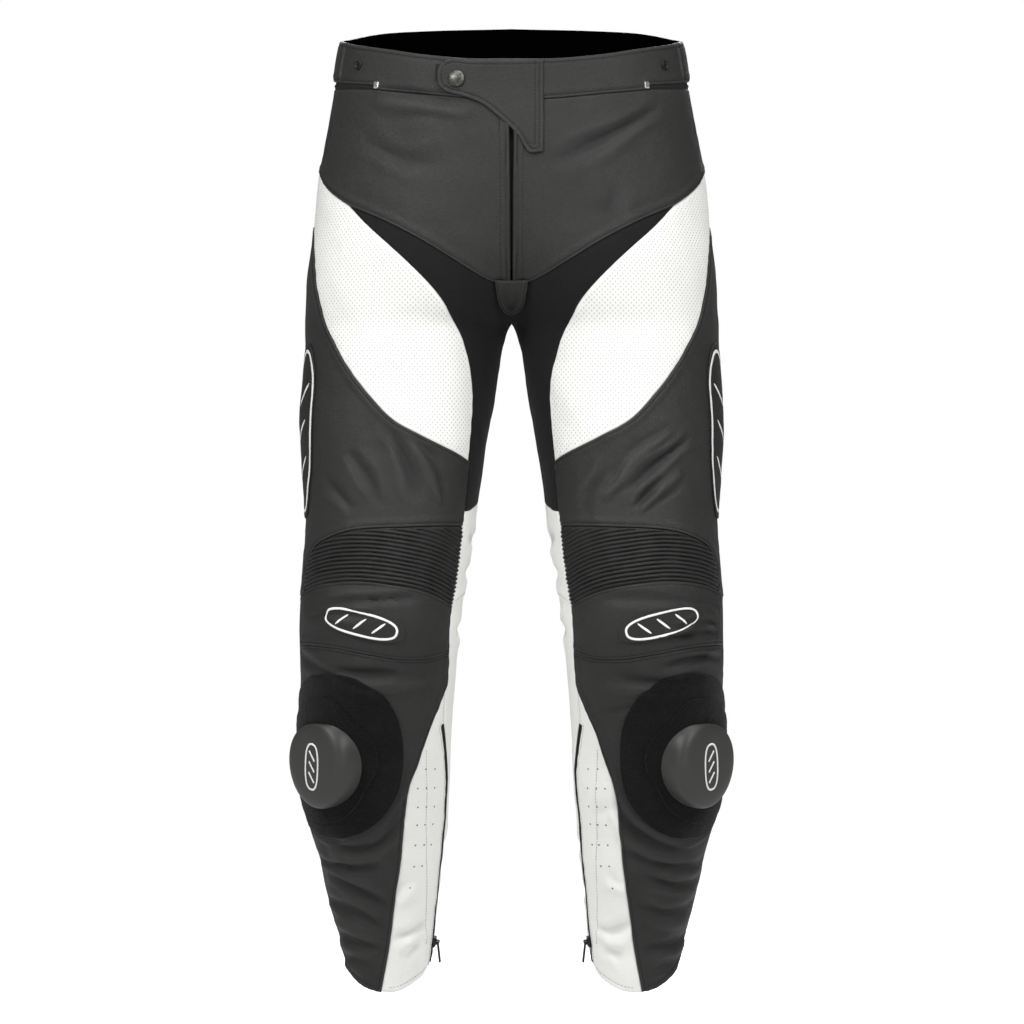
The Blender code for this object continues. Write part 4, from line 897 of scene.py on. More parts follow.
def welded(index, points):
    """Vertex numbers with each side of no length drawn to one vertex."""
    index = index.copy()
    for rows, line in ((index[0], points[0]), (index[-1], points[-1]),
                       (index[:, 0], points[:, 0]), (index[:, -1], points[:, -1])):
        if np.ptp(line, axis=0).max() < 1e-3:
            rows[:] = rows[0]
    return index


def fill_mesh(name, points, corners, totals):
    """A smooth mesh from points in metres, the faces' corners in one row and their counts."""
    mesh = bpy.data.meshes.new(name)
    mesh.vertices.add(len(points))
    mesh.vertices.foreach_set("co", points.ravel())
    mesh.loops.add(len(corners))
    mesh.loops.foreach_set("vertex_index", corners.astype(np.int32))
    mesh.polygons.add(len(totals))
    mesh.polygons.foreach_set("loop_start",
                              np.concatenate(([0], np.cumsum(totals)[:-1])).astype(np.int32))
    mesh.update(calc_edges=True)
    mesh.shade_smooth()
    mesh.set_sharp_from_angle(angle=math.radians(SHARP_ANGLE))
    return mesh


def make_mesh(name, points, faces, values=None, second=None):
    """A smooth mesh from points in millimetres and rows of four corners, where a corner that
    repeats the one before it is left out. values are uv, edge and hollow at each point, and
    second marks the faces that take the second material."""
    keep = faces != np.roll(faces, 1, axis=1)
    whole = keep.sum(axis=1) >= 3
    faces, keep = faces[whole], keep[whole]
    used, renumbered = np.unique(faces, return_inverse=True)
    faces, points = renumbered.reshape(faces.shape), points[used]
    corners, totals = faces[keep], keep.sum(axis=1)
    mesh = fill_mesh(name, points * MM, corners, totals)
    if second is not None:
        mesh.polygons.foreach_set("material_index", second[whole].astype(np.int32))
    if values is not None:
        values = values[used]
        layer = mesh.uv_layers.new(name="cloth")
        layer.data.foreach_set("uv", values[corners, :2].ravel())
        for column, label in ((2, "edge"), (3, "hollow")):
            mark = mesh.attributes.new(label, "FLOAT", "POINT")
            mark.data.foreach_set("value", values[:, column].astype(np.float32))
    return mesh


def read_all(items, field, width=1):
    """One field of a mesh's vertices, loops or faces, in a row."""
    values = np.empty(len(items) * width, np.float32 if width > 1 else np.int32)
    items.foreach_get(field, values)
    return values


def joined_mesh(name, meshes):
    """Several meshes as one."""
    points, corners, totals, start = [], [], [], 0
    for mesh in meshes:
        points.append(read_all(mesh.vertices, "co", 3).reshape(-1, 3))
        corners.append(read_all(mesh.loops, "vertex_index").astype(int) + start)
        totals.append(read_all(mesh.polygons, "loop_total").astype(int))
        start += len(mesh.vertices)
    return fill_mesh(name, np.vstack(points), np.concatenate(corners), np.concatenate(totals))


def shell(name, outer, inner=None, side=1, closed=False, values=None):
    """A closed wall from an outer and an inner grid and the strips between them. A closed grid
    joins its last row to its first, and one with no inner grid closes by itself at its poles."""
    count = outer.shape[0] * outer.shape[1]
    index = welded(np.arange(count).reshape(outer.shape[:2]), outer)
    if closed:
        index = np.vstack((index, index[:1]))
    faces, second = [grid_faces(index)], [0]
    points = outer.reshape(-1, 3)
    if inner is not None:
        under = index + count
        faces += [grid_faces(under)[:, ::-1], strip_faces(index[:, 0][::-1], under[:, 0][::-1]),
                  strip_faces(index[:, -1], under[:, -1])]
        second += [1, 0, 0]
        if not closed:
            faces += [strip_faces(index[0], under[0]),
                      strip_faces(index[-1][::-1], under[-1][::-1])]
            second += [0, 0]
        points = np.vstack((points, inner.reshape(-1, 3)))
        values = None if values is None else np.vstack((values, values))
    second = np.repeat(second, [len(part) for part in faces])
    faces = np.vstack(faces)
    if inner is not None:
        row, column = outer.shape[0] // 2, outer.shape[1] // 2
        middle = outer[row, column]
        out = np.cross(outer[row + 1, column] - middle, outer[row, column + 1] - middle)
        inwards = np.dot(out, middle - inner[row, column]) < 0
    else:
        a, b, c, d = (points[faces[:, k]] for k in range(4))
        inwards = ((np.cross(b - a, c - a) + np.cross(c - a, d - a)) * a).sum() < 0
    if inwards != (side < 0):
        faces = faces[:, ::-1]
    return make_mesh(name, points * (side, 1, 1), faces, values, second)


def stamps(template, faces, points, along, out, side=1):
    """Many copies of one small closed shape: its x, y and z lie along, across and out of the
    surface at each point."""
    across = np.cross(out, along)
    made = (points[:, None] + template[None, :, :1] * along[:, None]
            + template[None, :, 1:2] * across[:, None] + template[None, :, 2:] * out[:, None])
    numbers = faces[None] + (np.arange(len(points)) * len(template))[:, None, None]
    numbers = numbers.reshape(-1, 4)
    return made.reshape(-1, 3) * (side, 1, 1), numbers if side > 0 else numbers[:, ::-1]


def stitch_template(length, radius):
    """A stitch: a short rod of four sides, drawn in at both ends."""
    rows = ((-0.5, 0.3, -0.6), (-0.36, 1.0, 0.1), (0.36, 1.0, 0.1), (0.5, 0.3, -0.6))
    turn = np.arange(4) * math.pi / 2 + math.pi / 4
    points = [(x * length, radius * wide * math.cos(angle) * 1.2,
               radius * (wide * math.sin(angle) + high))
              for x, wide, high in rows for angle in turn]
    faces = [(4 * row + k, 4 * row + (k + 1) % 4, 4 * row + 4 + (k + 1) % 4, 4 * row + 4 + k)
             for row in range(3) for k in range(4)]
    faces += [(3, 2, 1, 0), (12, 13, 14, 15)]
    return np.array(points), np.array(faces)


def hole_template(radius):
    """A punched hole: a flat eight-sided button."""
    turn = np.arange(8) * math.pi / 4
    rim = np.column_stack((radius * np.cos(turn), radius * np.sin(turn), np.full(8, 0.12)))
    foot = rim * (1.0, 1.0, 0.0) - (0.0, 0.0, 0.3)
    faces = [(k, k + 8, (k + 1) % 8 + 8, (k + 1) % 8) for k in range(8)]
    faces += [(0, 1, 2, 3), (0, 3, 4, 7), (4, 5, 6, 7), (11, 10, 9, 8), (15, 12, 11, 8),
              (15, 14, 13, 12)]
    return np.vstack((rim, foot)), np.array(faces)


def stitch_line(points, normals, reach, side, distance, pitch):
    """Where the stitches of one line lie: points at a distance from a side, a pitch apart, with
    the direction along the line and the surface's normal."""
    run = turned_to(side, reach[side])
    rows, outs = turned_to(side, points), turned_to(side, normals)
    others = np.minimum.reduce([turned_to(side, reach[k]) for k in range(4) if k % 2 != side % 2])
    crossed = (run > distance).any(axis=1)
    index = np.clip((run > distance).argmax(axis=1), 1, run.shape[1] - 1)
    row = np.arange(len(run))
    low, high = run[row, index - 1], run[row, index]
    share = np.clip((distance - low) / np.maximum(high - low, 1e-6), 0, 1)[:, None]
    line = rows[row, index - 1] * (1 - share) + rows[row, index] * share
    out = outs[row, index]
    clear = crossed & (others[row, index] > distance - 0.3)
    return spaced(line[clear], out[clear], pitch)


def spaced(line, out, pitch):
    """Points a pitch apart along a line, the direction of the line there and the outward one."""
    if len(line) < 3:
        return None
    lengths = lengths_along(line)
    count = int(lengths[-1] / pitch)
    if count < 2:
        return None
    at = (np.arange(count) + 0.5) * lengths[-1] / count

    def read(values, where):
        return np.column_stack([np.interp(where, lengths, column) for column in values.T])

    along = normalized(read(line, at + pitch * 0.4) - read(line, at - pitch * 0.4))
    outward = read(out, at)
    outward = normalized(outward - along * (outward * along).sum(axis=1)[:, None])
    return read(line, at), along, outward


# ---------------------------------------------------------------- shader nodes
class Value:
    """A socket on its way through a material. Operators on numbers add Math nodes."""

    def __init__(self, board, socket):
        self.board, self.socket = board, socket

    def math(self, operation, *others):
        """One Math node, with this value first."""
        return self.board.add("ShaderNodeMath", {"operation": operation},
                              dict(enumerate((self, *others))))

    def __add__(self, other):
        return self.math("ADD", other)

    def __mul__(self, other):
        return self.math("MULTIPLY", other)

    __radd__, __rmul__ = __add__, __mul__

    def __sub__(self, other):
        return self.math("SUBTRACT", other)

    def __rsub__(self, other):
        return self.board.add("ShaderNodeMath", {"operation": "SUBTRACT"}, {0: other, 1: self})

    def __gt__(self, other):
        return self.math("GREATER_THAN", other)


class Board:
    """One material and its nodes."""

    def __init__(self, name):
        self.material = bpy.data.materials.new(PREFIX + name)
        self.material.use_nodes = True
        self.tree = self.material.node_tree
        self.shader = self.tree.nodes["Principled BSDF"]

    def add(self, kind, settings=None, inputs=None, output=0):
        """One node: its settings first, then the values or links of its sockets."""
        made = self.tree.nodes.new(kind)
        for key, value in (settings or {}).items():
            setattr(made, key, value)
        self.feed(made, inputs or {})
        return Value(self, made.outputs[output])

    def feed(self, node, inputs):
        """Give a node's sockets their values or links."""
        for key, value in inputs.items():
            if isinstance(value, Value):
                self.tree.links.new(value.socket, node.inputs[key])
            elif isinstance(value, tuple) and len(value) == 3 and \
                    node.inputs[key].type == "RGBA":
                node.inputs[key].default_value = (*value, 1.0)
            else:
                node.inputs[key].default_value = value

    def finish(self, **inputs):
        """Feed the Principled shader, and return the material."""
        self.feed(self.shader, {key.replace("_", " "): value for key, value in inputs.items()})
        return self.material

    def place(self):
        """Object coordinates."""
        return self.add("ShaderNodeTexCoord", output="Object")

    def mark(self, name):
        """A number stored at the mesh's points."""
        return self.add("ShaderNodeAttribute", {"attribute_name": name}, output="Fac")

    def noise(self, vector, scale, detail=2.0, roughness=0.5):
        """Noise between 0 and 1."""
        return self.add("ShaderNodeTexNoise", None,
                        {"Vector": vector, "Scale": scale, "Detail": detail,
                         "Roughness": roughness})

    def blend(self, factor, first, second):
        """A colour between two, by a factor."""
        return self.add("ShaderNodeMix", {"data_type": "RGBA"}, {0: factor, 6: first, 7: second},
                        output=2)

    def vector_math(self, operation, *values, output=0):
        """One Vector Math node."""
        return self.add("ShaderNodeVectorMath", {"operation": operation},
                        dict(enumerate(values)), output)

    def rise(self, value, low, high, to_low=0.0, to_high=1.0):
        """A value carried smoothly from one range to another."""
        return self.add("ShaderNodeMapRange", {"interpolation_type": "SMOOTHSTEP"},
                        {0: value, 1: low, 2: high, 3: to_low, 4: to_high})

    def bump(self, height, strength, distance):
        """A normal from a height, in metres over the bump's distance."""
        return self.add("ShaderNodeBump", None,
                        {"Height": height, "Strength": strength, "Distance": distance})


def scaled(colour, share):
    """A colour times a number."""
    return tuple(value * share for value in colour[:3])


def grain(board):
    """Leather grain: pebbles of about a millimetre between fine creases, over softer pores."""
    where = board.place()
    drift = board.add("ShaderNodeTexNoise", None,
                      {"Vector": where, "Scale": 240.0, "Detail": 1.0}, output="Color")
    warp = board.vector_math("MULTIPLY_ADD", drift, (0.0012, 0.0012, 0.0012), where)
    cells = board.add("ShaderNodeTexVoronoi", {"feature": "DISTANCE_TO_EDGE"},
                      {"Vector": warp, "Scale": 720.0})
    pebble = board.rise(cells, 0.0, 0.22)
    coarse = board.noise(where, 230.0, 4.0, 0.65)
    fine = board.noise(where, 1500.0, 2.0, 0.6)
    return where, pebble * 0.6 + coarse * 1.6 + fine * 0.25, pebble


def leather(name, colour, rough, highlight_and_wear, painted_shade_share, mottle):
    """Leather: grain for the bump, clouded colour, painted shade in the hollows, a painted highlight
    on the fold crests, and edges lighter from wear and from a painted highlight."""
    board = Board(name)
    where, height, pebble = grain(board)
    clouds = board.noise(where, 14.0, 3.0, 0.6)
    specks = board.noise(where, 520.0, 3.0, 0.7)
    tone = board.blend(board.rise(clouds * 0.35 + specks * 0.65, 0.36, 0.64),
                       scaled(colour, 1 - mottle), scaled(colour, 1 + mottle))
    hollow = board.mark("hollow")
    # Painted shade: the colour darkens towards a quarter of itself in the hollows of seams, stitch
    # lines, ribs and fold troughs.
    tone = board.blend(board.rise(hollow, 0.15, 1.1) * painted_shade_share, tone, scaled(colour, 0.25))
    # Painted highlight: the colour lightens towards 1.9 times itself on the fold crests, where the
    # hollow mark is negative.
    tone = board.blend(board.rise(hollow, -0.7, -0.1, 1.0, 0.0) * highlight_and_wear, tone, scaled(colour, 1.9))
    # Lighter within a few millimetres of an edge: partly wear, partly a painted highlight along the
    # seams.
    worn_and_lit_edge = board.rise(board.mark("edge"), 1.2, 4.0, 1.0, 0.0) \
        * board.rise(hollow, 0.1, 0.7, 1.0, 0.0)
    tone = board.blend(worn_and_lit_edge * highlight_and_wear, tone, scaled(colour, 1.0 + 1.2 * highlight_and_wear))
    return board, tone, height, rough + (0.5 - clouds) * 0.12 + (0.5 - pebble) * 0.08


def black_leather(colour, name="black_leather", rough=0.52, strength=0.8):
    """Black cowhide."""
    # Painted highlight and lighter edges at 0.55, painted shade in the hollows at 0.72.
    board, tone, height, roughness = leather(name, colour, rough, 0.55, 0.72, 0.2)
    return board.finish(Base_Color=tone, Roughness=roughness, IOR=1.45,
                        Specular_IOR_Level=0.46, Normal=board.bump(height, strength, 0.00035))


def white_leather(colour, holes):
    """White cowhide, punched with small staggered holes where holes is true."""
    # Neither painted highlight nor lighter edges; painted shade in the hollows at 0.28.
    board, tone, height, roughness = leather(
        "white_leather_punched" if holes else "white_leather", colour, 0.5, 0.0, 0.28, 0.025)
    if holes:
        spot = board.add("ShaderNodeUVMap", {"uv_map": "cloth"})
        spot = board.vector_math("DIVIDE", spot, (HOLE_SPACING * MM, HOLE_SPACING * MM, 1.0))
        masks = []
        for shift in (0.0, 0.5):
            cell = board.vector_math("ADD", spot, (shift, shift, 0.0))
            cell = board.vector_math("FRACTION", cell)
            masks.append(board.vector_math("DISTANCE", cell, (0.5, 0.5, 0.0), output="Value"))
        near = masks[0].math("MINIMUM", masks[1]) * HOLE_SPACING
        hole = board.rise(near, HOLE_RADIUS * 0.75, HOLE_RADIUS * 1.25, 1.0, 0.0) \
            * (board.mark("edge") > 3.6)
        tone = board.blend(hole * 0.66, tone, (0.05, 0.05, 0.05))
        height = height - hole * 2.0
    return board.finish(Base_Color=tone, Roughness=roughness, Specular_IOR_Level=0.4,
                        Normal=board.bump(height, 0.22, 0.0003))


def stretch_fabric(colour):
    """Woven stretch fabric: a fine twill in the bump and the colour, with painted shade in its
    hollows.
    """
    board = Board("stretch_fabric")
    spot = board.add("ShaderNodeUVMap", {"uv_map": "cloth"})
    rows = board.add("ShaderNodeTexWave", {"bands_direction": "DIAGONAL"},
                     {"Vector": spot, "Scale": 480.0, "Distortion": 0.4})
    cross = board.add("ShaderNodeTexWave", {"bands_direction": "Y"},
                      {"Vector": spot, "Scale": 620.0, "Distortion": 0.3})
    lint = board.noise(board.place(), 420.0, 4.0, 0.7)
    tone = board.blend(board.rise(rows * 0.3 + lint * 0.8, 0.25, 0.85), scaled(colour, 0.75),
                       scaled(colour, 1.3))
    # Painted shade: the colour darkens in the hollows of the seams and folds.
    tone = board.blend(board.rise(board.mark("hollow"), 0.2, 1.1) * 0.5, tone,
                       scaled(colour, 0.4))
    return board.finish(Base_Color=tone, Roughness=0.86 + (lint - 0.5) * 0.1,
                        Specular_IOR_Level=0.15, Sheen_Weight=0.05, Sheen_Roughness=0.4,
                        Normal=board.bump(rows + cross * 0.6 + lint * 0.8, 0.4, 0.0004))


def loop_felt(colour, name="loop_felt", light=1.0):
    """Brushed loops: uneven tufts and lint."""
    board = Board(name)
    where = board.place()
    tufts = board.add("ShaderNodeTexVoronoi", {"feature": "SMOOTH_F1"},
                      {"Vector": where, "Scale": 620.0, "Smoothness": 0.6})
    lint = board.noise(where, 900.0, 4.0, 0.75)
    mats = board.noise(where, 60.0, 3.0, 0.6)
    tone = board.blend(board.rise(tufts + lint * 0.8 + mats * 0.5, 0.5, 1.3),
                       scaled(colour, 1.5 * light), scaled(colour, 0.5 * light))
    return board.finish(Base_Color=tone, Roughness=0.95 + (lint - 0.5) * 0.05,
                        Specular_IOR_Level=0.1, Sheen_Weight=0.1, Sheen_Roughness=0.5,
                        Normal=board.bump(lint - tufts * 0.7 + mats, 0.8, 0.0009))


def moulded_plastic(colour):
    """Satin moulded plastic, finely grained and lightly rubbed."""
    board = Board("slider_plastic")
    where = board.place()
    fine = board.noise(where, 1900.0, 2.0, 0.6)
    cloud = board.noise(where, 40.0, 3.0, 0.6)
    tone = board.blend(board.rise(cloud, 0.35, 0.65), scaled(colour, 0.94), scaled(colour, 1.06))
    return board.finish(Base_Color=tone, Roughness=0.47 + (cloud - 0.5) * 0.12,
                        Specular_IOR_Level=0.5, Normal=board.bump(fine, 0.12, 0.0002))


def clouded(name, colour, noise, tones, rough, uneven, rise=None, bump=None, **inputs):
    """A plain material: one noise runs its colour between two tones, clouds its roughness and may
    stand in its bump. rise is the range of the noise that is used and its share of the blend."""
    board = Board(name)
    cloud = board.noise(board.place(), *noise)
    factor = board.rise(cloud, *rise[:2]) * rise[2] if rise else cloud
    if bump:
        inputs["Normal"] = board.bump(cloud, *bump)
    return board.finish(Base_Color=board.blend(factor, *(scaled(colour, tone) for tone in tones)),
                        Roughness=rough + (cloud - 0.5) * uneven, **inputs)


def metal(name, colour, rough, aged):
    """Plated metal: brushed, with darker patches where it has aged."""
    return clouded(name, colour, (420.0, 4.0, 0.65), (1.0, 0.3), rough, 0.3, (0.42, 0.68, aged),
                   (0.08, 0.0003), Metallic=1.0)


def thread(name, colour):
    """Sewing thread: a twist of two plies."""
    return clouded(name, colour, (2600.0, 2.0, 0.5), (0.7, 1.2), 0.7, 0.1,
                   Specular_IOR_Level=0.25)


def zip_cloth(name, colour, rough=0.75, shine=0.3):
    """Zip tape and teeth."""
    return clouded(name, colour, (1400.0, 3.0, 0.6), (0.7, 1.3), rough, 0.1, bump=(0.3, 0.0003),
                   Specular_IOR_Level=shine)


def printed(colour):
    """Rubbery white print on an overlay."""
    return clouded("overlay_print", colour, (160.0, 3.0, 0.6), (1.0, 0.93), 0.5, 0.1,
                   (0.35, 0.7, 1.0), (0.1, 0.0002), Specular_IOR_Level=0.35)


def finishes():
    """Every material once, from the colours of the panel."""
    known = {each.name[len(PREFIX):]: each for each in bpy.data.materials
             if each.name.startswith(PREFIX)}
    if known:
        return known
    tints = bpy.context.scene.trousers_colours
    black, white, stretch, felt, plastic = (
        tuple(getattr(tints, name)) for name in
        ("black_leather", "white_leather", "stretch_fabric", "loop_felt", "slider_plastic"))
    made = (
        black_leather(black),
        black_leather(scaled(black, 0.8), "knee_leather", 0.54, 0.7),
        black_leather(scaled(black, 0.62), "overlay_leather", 0.62, 0.2),
        white_leather(white, False),
        white_leather(white, True),
        stretch_fabric(stretch),
        loop_felt(felt),
        loop_felt(felt, "loop_pad_felt", 0.85),
        moulded_plastic(plastic),
        metal("dark_metal", (0.13, 0.128, 0.115), 0.45, 0.85),
        metal("black_metal", (0.045, 0.045, 0.043), 0.5, 0.5),
        metal("bright_metal", (0.72, 0.72, 0.7), 0.24, 0.15),
        thread("black_thread", scaled(black, 0.3)),
        thread("white_thread", scaled(white, 0.5)),
        zip_cloth("zip_tape", (0.009, 0.009, 0.009)),
        zip_cloth("lining_cloth", (0.0006, 0.0006, 0.0006), 0.9, 0.0),
        zip_cloth("hole_dark", (0.1, 0.1, 0.098), 0.9),
        printed((0.86, 0.86, 0.84)),
    )
    return {material.name[len(PREFIX):]: material for material in made}


# ---------------------------------------------------------------- pieces
def add_piece(name, mesh, names, nodes=(), body="trousers"):
    """Link a piece with its materials, on its body, in place of its nodes."""
    known = finishes()
    for material in names:
        mesh.materials.append(known[material])
    piece = bpy.data.objects.new(name, mesh)
    bpy.context.scene.collection.objects.link(piece)
    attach(piece, body)
    if nodes:
        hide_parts(*nodes)
    return piece


def cut_size(flat, points):
    """Width, length and area of a piece's cut, two of them wrong. An area below LEAST_SHARE of its
    box
    is raised to it: the inner stretch panel has 0.0310 square metres and comes out as 0.0414. A box
    too small for its area is lengthened only until it holds it: the crotch tab is 64 mm long and
    comes out as 46 mm."""
    one = np.cross(points[1:, :-1] - points[:-1, :-1], points[:-1, 1:] - points[:-1, :-1])
    two = np.cross(points[1:, :-1] - points[1:, 1:], points[:-1, 1:] - points[1:, 1:])
    area = (np.linalg.norm(one, axis=2) + np.linalg.norm(two, axis=2)).sum() / 2 * MM * MM
    width, length = np.ptp(flat.reshape(-1, 2), axis=0) * MM
    length = max(length, area / width)
    return width, length, float(np.clip(area, LEAST_SHARE * width * length, width * length))


def declare_cut(flat, base, full=1.0, rests_on=()):
    """Work out a piece's cut as cut_size gives it, with its length and area times the fullness that
    it is gathered from. The results are not kept."""
    width, length, area = cut_size(flat, base)
    area = min(area, round(width, 4) * round(length, 4)) * full * ROUNDING_MARGIN
    round(length * full, 4)


def unrolled(places):
    """Arc length round the form and height, in millimetres."""
    return np.stack((round_length(places), places[..., 1]), axis=-1)


def cloth_values(across, up, edge, dip):
    """uv, distance from the nearest edge and depth of the hollows, for painted shade, at each grid
    point.
    """
    return np.column_stack([each.ravel() for each in (
        across * MM, up * MM, np.minimum(edge, EDGE_REACH), dip)])


def sew_panel(name, word, side, settings):
    """One panel of one half, with its stitches as a piece of their own."""
    finish, thickness, step, routes, styles, held = PANELS[name]
    sides = [side_line(SEAMS, route, TIPS.get(name)) for route in routes]
    steps = (3.0, step) if name == "knee_ribs" else (step, step)
    places = panel_places(sides, *steps)
    base, normals = on_grid(places)
    reach = reaches(base, sides)
    seen = base * (side, 1, 1)
    common, folded = relief_and_folds(places, seen, word, settings)
    lines = [through(SEWN_LINES[name])] if name in SEWN_LINES else []
    gaps = reach + reaches(base, lines)
    trim, dip = edge_relief(gaps, styles + ("sewn",) * len(lines), seen, settings)
    own = OWN_RELIEF[name](places, reach, seen, settings) if name in OWN_RELIEF else 0.0
    full = own if name == "knee_cup" else 0.0
    outer = raised(base, normals, common + trim + own)
    inner = raised(base, normals, common + full - thickness)
    for grid in (outer, inner):
        grid[..., 0] = np.maximum(grid[..., 0], 0.0)
    # The hollow mark for painted shade: raised in the rib valleys, the fly's crease and the fold
    # troughs, and negative on the fold crests, where a highlight is painted.
    if name in ("knee_ribs", "hip_front"):
        dip = np.maximum(dip, np.clip(-0.66 * own, 0, 2))
    dip = dip - np.clip(0.42 * folded, -1.2, 0.8)
    values = cloth_values(round_length(places), places[..., 1], np.minimum.reduce(reach), dip)
    mesh = shell(name, outer, inner, side, values=values)
    label = name + "_" + word
    skins = (SKINS.get(name, finish), "lining_cloth")
    piece = add_piece("sewn_" + label, mesh, skins, (label,))
    declare_cut(unrolled(places), base,
                settings.gathering if held == "gathered" else 1.0)
    across = []
    for line in lines:
        spots, out = form_frame(line)
        lift = body_relief(line, spots * (side, 1, 1), word, settings) - 0.1
        across.append(spaced(raised(spots, out, lift), out, settings.stitch_pitch / MM))
    sew_stitches(label, finish, outer, normals, reach, styles, side, settings, across)
    return piece


def sew_stitches(label, finish, outer, normals, reach, styles, side, settings, rows=()):
    """The stitch lines of one panel, as one piece."""
    points, faces, count = [], [], 0
    template, quads = stitch_template(settings.stitch_length / MM, settings.thread_radius / MM)
    rows = list(rows) + [stitch_line(outer, normals, reach, number, distance,
                                     settings.stitch_pitch / MM)
                         for number, style in enumerate(styles) for distance in STYLES[style][3]]
    for found in rows:
        if found is not None:
            made, numbers = stamps(template, quads, *found, side)
            points.append(made)
            faces.append(numbers + count)
            count += len(made)
    if points:
        mesh = make_mesh("stitches_" + label, np.vstack(points), np.vstack(faces))
        colour = "white_thread" if finish == "white_leather" else "black_thread"
        add_piece("stitches_" + label, mesh, (colour,))


def sew_zip(name, word, side, settings):
    """A closed zip: its tape, and two rows of teeth that meet in the middle, half a pitch apart."""
    sides = [side_line(SEAMS, route) for route in ZIPS[name]]
    run = [lengths_along(form_points(line))[-1] for line in sides]
    u = np.linspace(0.02, 0.98, 11)
    v = np.linspace(0.0005, 0.9995, round(max(run[1], run[3]) / 0.6))
    places = coons(sides, u, v)
    base, normals = on_grid(places)
    reach = reaches(base, sides)
    middle = (reach[3] - reach[1]) / 2
    tooth = 0.5 + 0.5 * np.cos(2 * math.pi * (reach[0] / TOOTH_PITCH + 0.25 * np.sign(middle)))
    teeth = np.exp(-(middle / 1.45) ** 4) * (0.35 + 0.65 * tooth)
    relief = body_relief(places, base * (side, 1, 1), word, settings) - ZIP_SINK \
        + TOOTH_HEIGHT * teeth
    values = cloth_values(round_length(places), places[..., 1], np.minimum.reduce(reach),
                          1 - teeth)
    mesh = shell(name, raised(base, normals, relief), base - normals * (ZIP_TAPE + ZIP_SINK), side,
                 values=values)
    label = name + "_" + word
    return add_piece("sewn_" + label, mesh, ("zip_tape", "lining_cloth"), (label,))


def oval_rim(place, size, power, tilt, turns, drawn_in=0.0):
    """The rim of a superellipse of places, tilted in the flat and drawn in by a distance."""
    turn = np.linspace(0, 2 * math.pi, turns, endpoint=False)
    short = min(size[0] * FLAT_PER_DEGREE, size[1])
    across = power_wave(np.cos(turn), power) * size[0] * FLAT_PER_DEGREE
    up = power_wave(np.sin(turn), power) * size[1]
    return tilted(across, up, tilt) * (1 - drawn_in / short) / (FLAT_PER_DEGREE, 1.0) + place


def sew_patch(name, word, side, settings, spot, rim, thickness, lift, skins, rough, under):
    """A layer that lies on the panels: a disc from a spot to its rim, which follows them and has a
    soft cut edge."""
    reach_out = np.abs((rim - spot) * (FLAT_PER_DEGREE, 1.0)).max()
    rings = np.unique(np.concatenate((np.linspace(0, 1 - 3.0 / reach_out, round(reach_out / 3.6)),
                                      1 - np.array((1.6, 0.8, 0.3, 0.0)) / reach_out)))
    places = (rim - spot)[:, None] * rings[None, :, None] + spot
    base, normals = on_grid(places)
    seen = base * (side, 1, 1)
    edge = (1 - rings[None, :]) * reach_out + 0 * base[..., 0]
    t = np.clip(1 - edge / 1.2, 0, 1)
    common = body_relief(places, seen, word, settings)
    relief = lift + common - 0.7 * thickness * (1 - np.sqrt(1 - t * t))
    relief = relief + rough * (waves(seen, 6.0, 41) * 0.5 + waves(seen, 2.6, 42) * 0.4)
    values = cloth_values(round_length(places), places[..., 1], edge, np.zeros_like(edge))
    mesh = shell(name, raised(base, normals, relief),
                 raised(base, normals, lift + common - thickness), side, closed=True,
                 values=values)
    label = name + "_" + word
    piece = add_piece("sewn_" + label, mesh, skins, (label,))
    wrapped = np.concatenate((places, places[:1]))
    declare_cut(unrolled(wrapped), np.concatenate((base, base[:1])),
                rests_on=["sewn_" + under + "_" + word])
    return piece


def ribbon(name, line, width, lift, word, side, settings, closed=True):
    """A raised print along a line of places: five points across, domed between its edges."""
    points, normals = form_frame(line)
    across = np.cross(normals, ahead_of(points, closed))
    common = body_relief(line, points * (side, 1, 1), word, settings)
    offsets = np.linspace(-0.5, 0.5, 5)
    dome = 0.25 * (1 - (2 * offsets) ** 2)
    width = np.broadcast_to(np.asarray(width, float), (len(line),))
    outer = (points[:, None] + across[:, None] * (offsets[None] * width[:, None])[..., None]
             + normals[:, None] * (lift + common[:, None] + dome[None])[..., None])
    inner = outer - normals[:, None] * (0.4 + dome[None, :, None])
    return shell(name, outer, inner, side, closed=closed)


def span_piece(name, sides, lift, thickness, step, styles, settings, under, extra=None):
    """A piece that spans the middle of the front, between four sides of (minus x, height)."""
    places = panel_places(sides, step, step, across_points, 0.05)
    base, normals = on_grid(places, across_points)
    reach = reaches(base, sides, across_points)
    common = np.zeros(places.shape[:2]) if extra is None else extra(places)
    trim, dip = edge_relief(reach, styles, base, settings)
    outer = raised(base, normals, lift + common + trim)
    inner = raised(base, normals, lift + common - thickness)
    values = cloth_values(-places[..., 0], places[..., 1], np.minimum.reduce(reach), dip)
    mesh = shell(name, outer, inner, values=values)
    piece = add_piece("sewn_" + name, mesh, ("black_leather", "lining_cloth"),
                      (name,))
    declare_cut(places, base, rests_on=["sewn_" + each for each in under])
    sew_stitches(name, "black_leather", outer, normals, reach, styles, 1, settings)
    return piece


def flap_stand(places):
    """The flap's rounded end stands a little off the waistband."""
    return 2.6 * smooth(places[..., 0], 52, 76) + 0.5 * smooth(places[..., 1], -60, -28)


def turned_points(profile, segments=48):
    """A closed turned shape, as a grid round its axis, from a profile of (radius, height)."""
    turn = np.linspace(0, 2 * math.pi, segments, endpoint=False)
    profile = np.array(profile, float)
    return np.stack((np.outer(np.cos(turn), profile[:, 0]), np.outer(np.sin(turn), profile[:, 0]),
                     np.tile(profile[:, 1], (segments, 1))), axis=-1)


